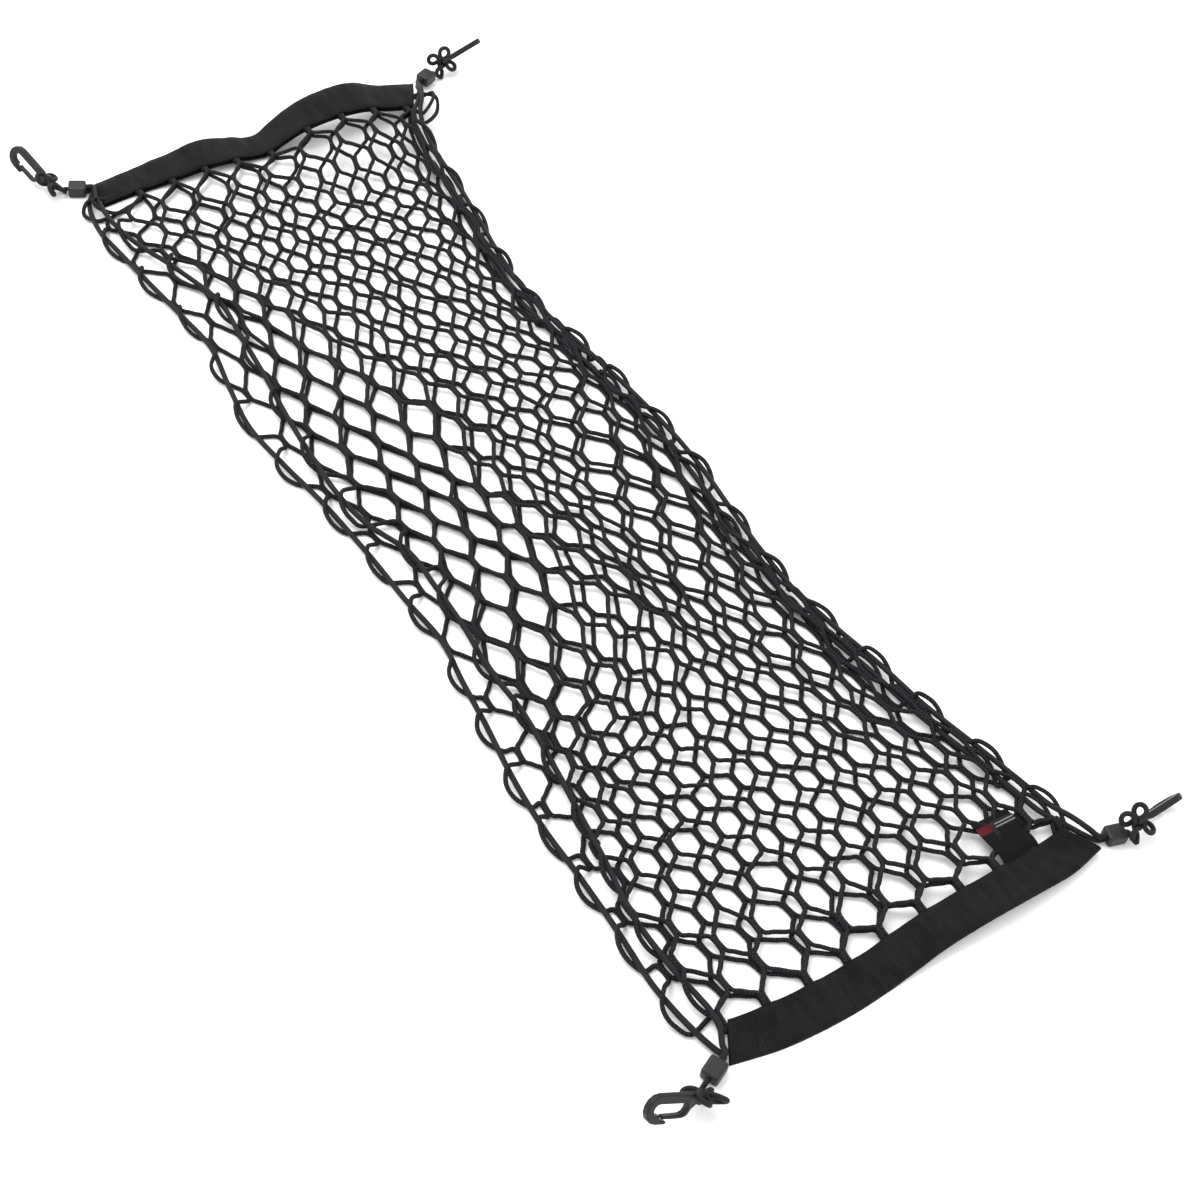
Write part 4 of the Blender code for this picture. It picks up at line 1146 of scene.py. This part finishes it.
def binding(name, table, entries, sizes, material):
    """A folded length of webbing as one closed mesh with a cloth map."""
    stations = band_stations(table, BAND_STEPS)
    dense = BAND_END_DENSE
    rows = [(1.0 - (1.0 - k / BAND_ACROSS) ** dense, False) for k in range(BAND_ACROSS)]
    rows += [(1.0 - (k / BAND_ACROSS) ** dense, True) for k in range(BAND_ACROSS + 1)]
    points = []
    for station in stations:
        for depth, top in rows:
            points.append(place(band_point(station, depth, top, entries)))
    size = len(rows)
    faces = []
    for i in range(BAND_STEPS - 1):
        for j in range(size - 1):
            a = i * size + j
            faces.append((a, a + 1, a + size + 1, a + size))
    mesh = bpy.data.meshes.new(name)
    mesh.from_pydata(points, [], faces)
    layer = mesh.uv_layers.new(name="cloth")
    run = [0.0]
    for i in range(1, BAND_STEPS):
        run.append(run[-1] + (points[i * size] - points[(i - 1) * size]).length)
    for loop in mesh.loops:
        i, j = divmod(loop.vertex_index, size)
        depth, top = rows[j]
        layer.data[loop.index].uv = (run[i], BAND_WIDTH * (2.0 - depth if top else depth))
    mesh.shade_smooth()
    item = link(name, mesh, material)
    wall = item.modifiers.new("Ply", "SOLIDIFY")
    wall.thickness = sizes.webbing
    wall.offset = 0.0
    wall.use_even_offset = False
    return item


def stitch_line(table, entries, depth):
    """The line of sewing on a binding's upper ply."""
    stations = band_stations(table, BAND_STEPS)
    line = []
    for station in stations[SEAM_MARGIN:-SEAM_MARGIN]:
        x, y, z = band_point(station, depth, True, entries)
        line.append((x, y, z + SEAM_OVER))
    return line


class CARGONET_OT_bindings(bpy.types.Operator):
    """Makes the folded webbing bindings and their sewing"""

    bl_idname = "cargonet.bindings"
    bl_label = "Bindings"

    def execute(self, context):
        sizes = context.scene.cargo_sizes
        looks = finishes(context.scene)
        tree = stitch_tree()
        values = {
            "Pitch": sizes.stitch_pitch,
            "Length": sizes.stitch_length,
            "Thread": sizes.stitch_thread,
            "Finish": looks["thread"],
        }
        for name, table, row in (("binding_near", NEAR_BAND, 0), ("binding_far", FAR_BAND, ROWS)):
            entries = held_joints(row)
            item = binding("dressed_" + name, table, entries, sizes, looks["webbing"])
            settle(item, "root", [name])
            lines = [stitch_line(table, entries, depth) for depth in SEAMS]
            sewing = grow(name + "_sewing", lines, tree, values, "root", [])
        bpy.data.node_groups.remove(tree)
        return {"FINISHED"}


# ---- corner fittings --------------------------------------------------------------------
def hook_axes(azimuth, elevation, roll):
    """Axes of a hook: along it, across it towards its back, and square to its plane."""
    az, el, ro = (math.radians(v) for v in (azimuth, elevation, roll))
    along = Vector((math.cos(el) * math.cos(az), math.cos(el) * math.sin(az), math.sin(el)))
    level = Vector((0.0, 0.0, 1.0)).cross(along).normalized()
    upright = along.cross(level)
    nose = level * math.cos(ro) + upright * math.sin(ro)
    return along, -nose, along.cross(-nose)


def knot_point(t, middle, along, across, normal):
    """A point of the wreath; t is the angle round it, with a lobe at every quarter turn."""
    x = KNOT_TURN * math.cos(t) + KNOT_LOBES * math.cos(3 * t) + KNOT_ROUND * math.cos(7 * t)
    y = KNOT_TURN * math.sin(t) - KNOT_LOBES * math.sin(3 * t) - KNOT_ROUND * math.sin(7 * t)
    ahead = (x + y) * math.sqrt(0.5)
    aside = (y - x) * math.sqrt(0.5)
    height = KNOT_WAVE * math.sin(4 * t)
    return middle + along * ahead + across * aside + normal * height


def knot_line(corner):
    """The strand of a corner's knot, from its bead round the lobes."""
    _, bx, by, bz, heading, ex, ey, ez, azimuth, elevation, roll = corner
    along, back, square = hook_axes(azimuth, elevation, roll)
    tilt = math.radians(KNOT_TILT)
    across = square * math.cos(tilt) + back * math.sin(tilt)
    normal = square * math.sin(tilt) - back * math.cos(tilt)
    middle = Vector((ex, ey, ez)) - along * KNOT_EYE
    ahead = Vector((math.cos(math.radians(heading)), math.sin(math.radians(heading)), 0.0))
    face = Vector((bx, by, bz)) + ahead * BEAD_FACE
    tips = [math.pi / 2.0 * i for i in range(4)]
    tip = min(tips, key=lambda t: (knot_point(t, middle, along, across, normal) - face).length)
    first = tip + KNOT_ENTRY
    last = tip + 2.0 * math.pi - KNOT_END
    wreath = []
    for i in range(KNOT_POINTS):
        t = first + (last - first) * i / (KNOT_POINTS - 1)
        wreath.append(knot_point(t, middle, along, across, normal))
    start = face + ahead * KNOT_LEAD[0]
    lead = face + ahead * KNOT_LEAD[1]
    before = wreath[0] + (wreath[0] - wreath[1]).normalized() * KNOT_LEAD[1]
    return [tuple(p) for p in [start, lead, (lead + before) / 2.0, before] + wreath]


class CARGONET_OT_knots(bpy.types.Operator):
    """Makes the cord knots between the beads and the hooks"""

    bl_idname = "cargonet.knots"
    bl_label = "Knots"

    def execute(self, context):
        sizes = context.scene.cargo_sizes
        looks = finishes(context.scene)
        tree = tube_tree()
        values = tube_values(sizes.knot_cord, KNOT_STEP, CORD_SIDES, 0.0, looks["elastic"])
        for corner in CORNERS:
            name = "knot_" + corner[0]
            grow("dressed_" + name, [knot_line(corner)], tree, values, "root", [name])
        bpy.data.node_groups.remove(tree)
        return {"FINISHED"}


def softened(name, node, voxel, rounds, material):
    """A copy of a moulded piece whose edges are rounded, as it leaves its mould."""
    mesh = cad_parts[node].data.copy()
    mesh.name = name
    work = bmesh.new()
    work.from_mesh(mesh)
    bmesh.ops.remove_doubles(work, verts=work.verts, dist=0.00001)
    work.to_mesh(mesh)
    work.free()
    item = link(name, mesh, material)
    remesh = item.modifiers.new("Even", "REMESH")
    remesh.mode = "VOXEL"
    remesh.voxel_size = voxel
    remesh.use_smooth_shade = True
    soften = item.modifiers.new("Round", "SMOOTH")
    soften.factor = 0.5
    soften.iterations = rounds
    graph = bpy.context.evaluated_depsgraph_get()
    made = bpy.data.meshes.new_from_object(item.evaluated_get(graph), depsgraph=graph)
    item.modifiers.clear()
    item.data = made
    made.shade_smooth()
    made.materials.clear()
    made.materials.append(material)
    return item


class CARGONET_OT_fittings(bpy.types.Operator):
    """Makes the square beads and the snap hooks"""

    bl_idname = "cargonet.fittings"
    bl_label = "Beads and hooks"

    def execute(self, context):
        looks = finishes(context.scene)
        for row in CORNERS:
            for kind, slot, voxel, rounds in (
                ("crimp_", "bead", 0.00032, 6),
                ("hook_", "plastic", 0.00026, 5),
            ):
                node = kind + row[0]
                item = softened("dressed_" + node, node, voxel, rounds, looks[slot])
                settle(item, "root", [node])
        return {"FINISHED"}


# ---- label ------------------------------------------------------------------------------
class CARGONET_OT_label(bpy.types.Operator):
    """Makes the woven label at the near binding"""

    bl_idname = "cargonet.label"
    bl_label = "Label"

    def execute(self, context):
        sizes = context.scene.cargo_sizes
        looks = finishes(context.scene)
        ys = column(LABEL_PROFILE, 0)
        zs = column(LABEL_PROFILE, 1)
        points = []
        faces = []
        size = LABEL_STEPS + 1
        for i in range(size):
            x = LABEL_LEFT + (LABEL_RIGHT - LABEL_LEFT) * i / LABEL_STEPS
            for j in range(size):
                y = ys[0] + (ys[-1] - ys[0]) * j / LABEL_STEPS
                ripple = 0.25 * noise.noise(Vector((x / 9.0, y / 12.0, 1.3)))
                points.append(place((x, y, lift(x, y) + spline(ys, zs, y) + ripple)))
        for i in range(LABEL_STEPS):
            for j in range(LABEL_STEPS):
                a = i * size + j
                faces.append((a, a + size, a + size + 1, a + 1))
        mesh = bpy.data.meshes.new("dressed_label_tab")
        mesh.from_pydata(points, [], faces)
        layer = mesh.uv_layers.new(name="cloth")
        for loop in mesh.loops:
            i, j = divmod(loop.vertex_index, size)
            layer.data[loop.index].uv = (i / LABEL_STEPS, j / LABEL_STEPS)
        mesh.shade_smooth()
        item = link("dressed_label_tab", mesh, looks["woven"])
        wall = item.modifiers.new("Ply", "SOLIDIFY")
        wall.thickness = sizes.label
        wall.offset = 0.0
        settle(item, "root", ["label_tab"])
        return {"FINISHED"}


# ---- stage ------------------------------------------------------------------------------
class CARGONET_OT_stage(bpy.types.Operator):
    """Makes the floor, the light and the camera"""

    bl_idname = "cargonet.stage"
    bl_label = "Stage"

    def execute(self, context):
        scene = context.scene
        stage = scene.cargo_stage
        colours = scene.cargo_colours
        half = FLOOR_HALF
        mesh = bpy.data.meshes.new("floor")
        mesh.from_pydata(
            [(-half, -half, 0.0), (half, -half, 0.0), (half, half, 0.0), (-half, half, 0.0)],
            [],
            [(0, 1, 2, 3)],
        )
        floor_look, tree, shader = new_finish("Floor", colours.floor, 0.9, 0.1, 0.0)
        mottle(tree, shader, colours.floor, 3.0, 0.004)
        link("floor", mesh, floor_look)

        world = bpy.data.worlds.new("Sky")
        world.use_nodes = True
        backdrop = world.node_tree.nodes["Background"]
        backdrop.inputs["Color"].default_value = (1.0, 1.0, 1.0, 1.0)
        backdrop.inputs["Strength"].default_value = stage.sky
        scene.world = world

        lamp = bpy.data.lights.new("Key light", "AREA")
        lamp.shape = "SQUARE"
        lamp.size = stage.key_size
        lamp.energy = stage.key
        lamp.color = (1.0, 0.995, 0.98)
        key = bpy.data.objects.new("Key light", lamp)
        scene.collection.objects.link(key)
        key.location = KEY_PLACE
        aim = -key.location.normalized()
        key.rotation_mode = "QUATERNION"
        key.rotation_quaternion = aim.to_track_quat("-Z", "Y")

        lens = bpy.data.cameras.new("Camera")
        lens.sensor_width = CAMERA_SENSOR
        lens.lens = CAMERA_LENS
        lens.clip_start = 0.05
        lens.clip_end = 40.0
        camera = bpy.data.objects.new("Camera", lens)
        scene.collection.objects.link(camera)
        forward = Vector(CAMERA_FORWARD).normalized()
        up = Vector(CAMERA_UP)
        right = forward.cross(up).normalized()
        up = right.cross(forward)
        turn = Matrix((right, up, -forward)).transposed()
        camera.matrix_world = Matrix.Translation(CAMERA_PLACE) @ turn.to_4x4()
        scene.camera = camera
        scene.view_settings.view_transform = "Standard"
        return {"FINISHED"}


class CARGONET_PT_panel(bpy.types.Panel):
    """Sizes, colours and the pieces of the cargo net"""

    bl_idname = "CARGONET_PT_panel"
    bl_label = "Cargo net"
    bl_space_type = "VIEW_3D"
    bl_region_type = "UI"
    bl_category = "Cargo net"

    def draw(self, context):
        scene = context.scene
        for group in (scene.cargo_sizes, scene.cargo_colours, scene.cargo_stage):
            box = self.layout.box()
            for name in group.__annotations__:
                box.prop(group, name)
        for operator in OPERATORS:
            self.layout.operator(operator.bl_idname)


OPERATORS = (
    CARGONET_OT_stage,
    CARGONET_OT_bindings,
    CARGONET_OT_netting,
    CARGONET_OT_cords,
    CARGONET_OT_knots,
    CARGONET_OT_fittings,
    CARGONET_OT_label,
)
GROUPS = (CargoNetSizes, CargoNetColours, CargoNetStage)


def register():
    """Registers the groups, the operators and the panel."""
    for group in GROUPS + OPERATORS + (CARGONET_PT_panel,):
        bpy.utils.register_class(group)
    bpy.types.Scene.cargo_sizes = bpy.props.PointerProperty(type=CargoNetSizes)
    bpy.types.Scene.cargo_colours = bpy.props.PointerProperty(type=CargoNetColours)
    bpy.types.Scene.cargo_stage = bpy.props.PointerProperty(type=CargoNetStage)


def unregister():
    """Takes them away again."""
    del bpy.types.Scene.cargo_stage
    del bpy.types.Scene.cargo_colours
    del bpy.types.Scene.cargo_sizes
    for group in reversed(GROUPS + OPERATORS + (CARGONET_PT_panel,)):
        bpy.utils.unregister_class(group)


def main():
    """Makes the stage and every piece."""
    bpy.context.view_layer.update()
    register()
    bpy.ops.cargonet.stage()
    bpy.ops.cargonet.bindings()
    bpy.ops.cargonet.netting()
    bpy.ops.cargonet.cords()
    bpy.ops.cargonet.knots()
    bpy.ops.cargonet.fittings()
    bpy.ops.cargonet.label()
    bpy.context.view_layer.update()


if __name__ == "__main__":
    main()
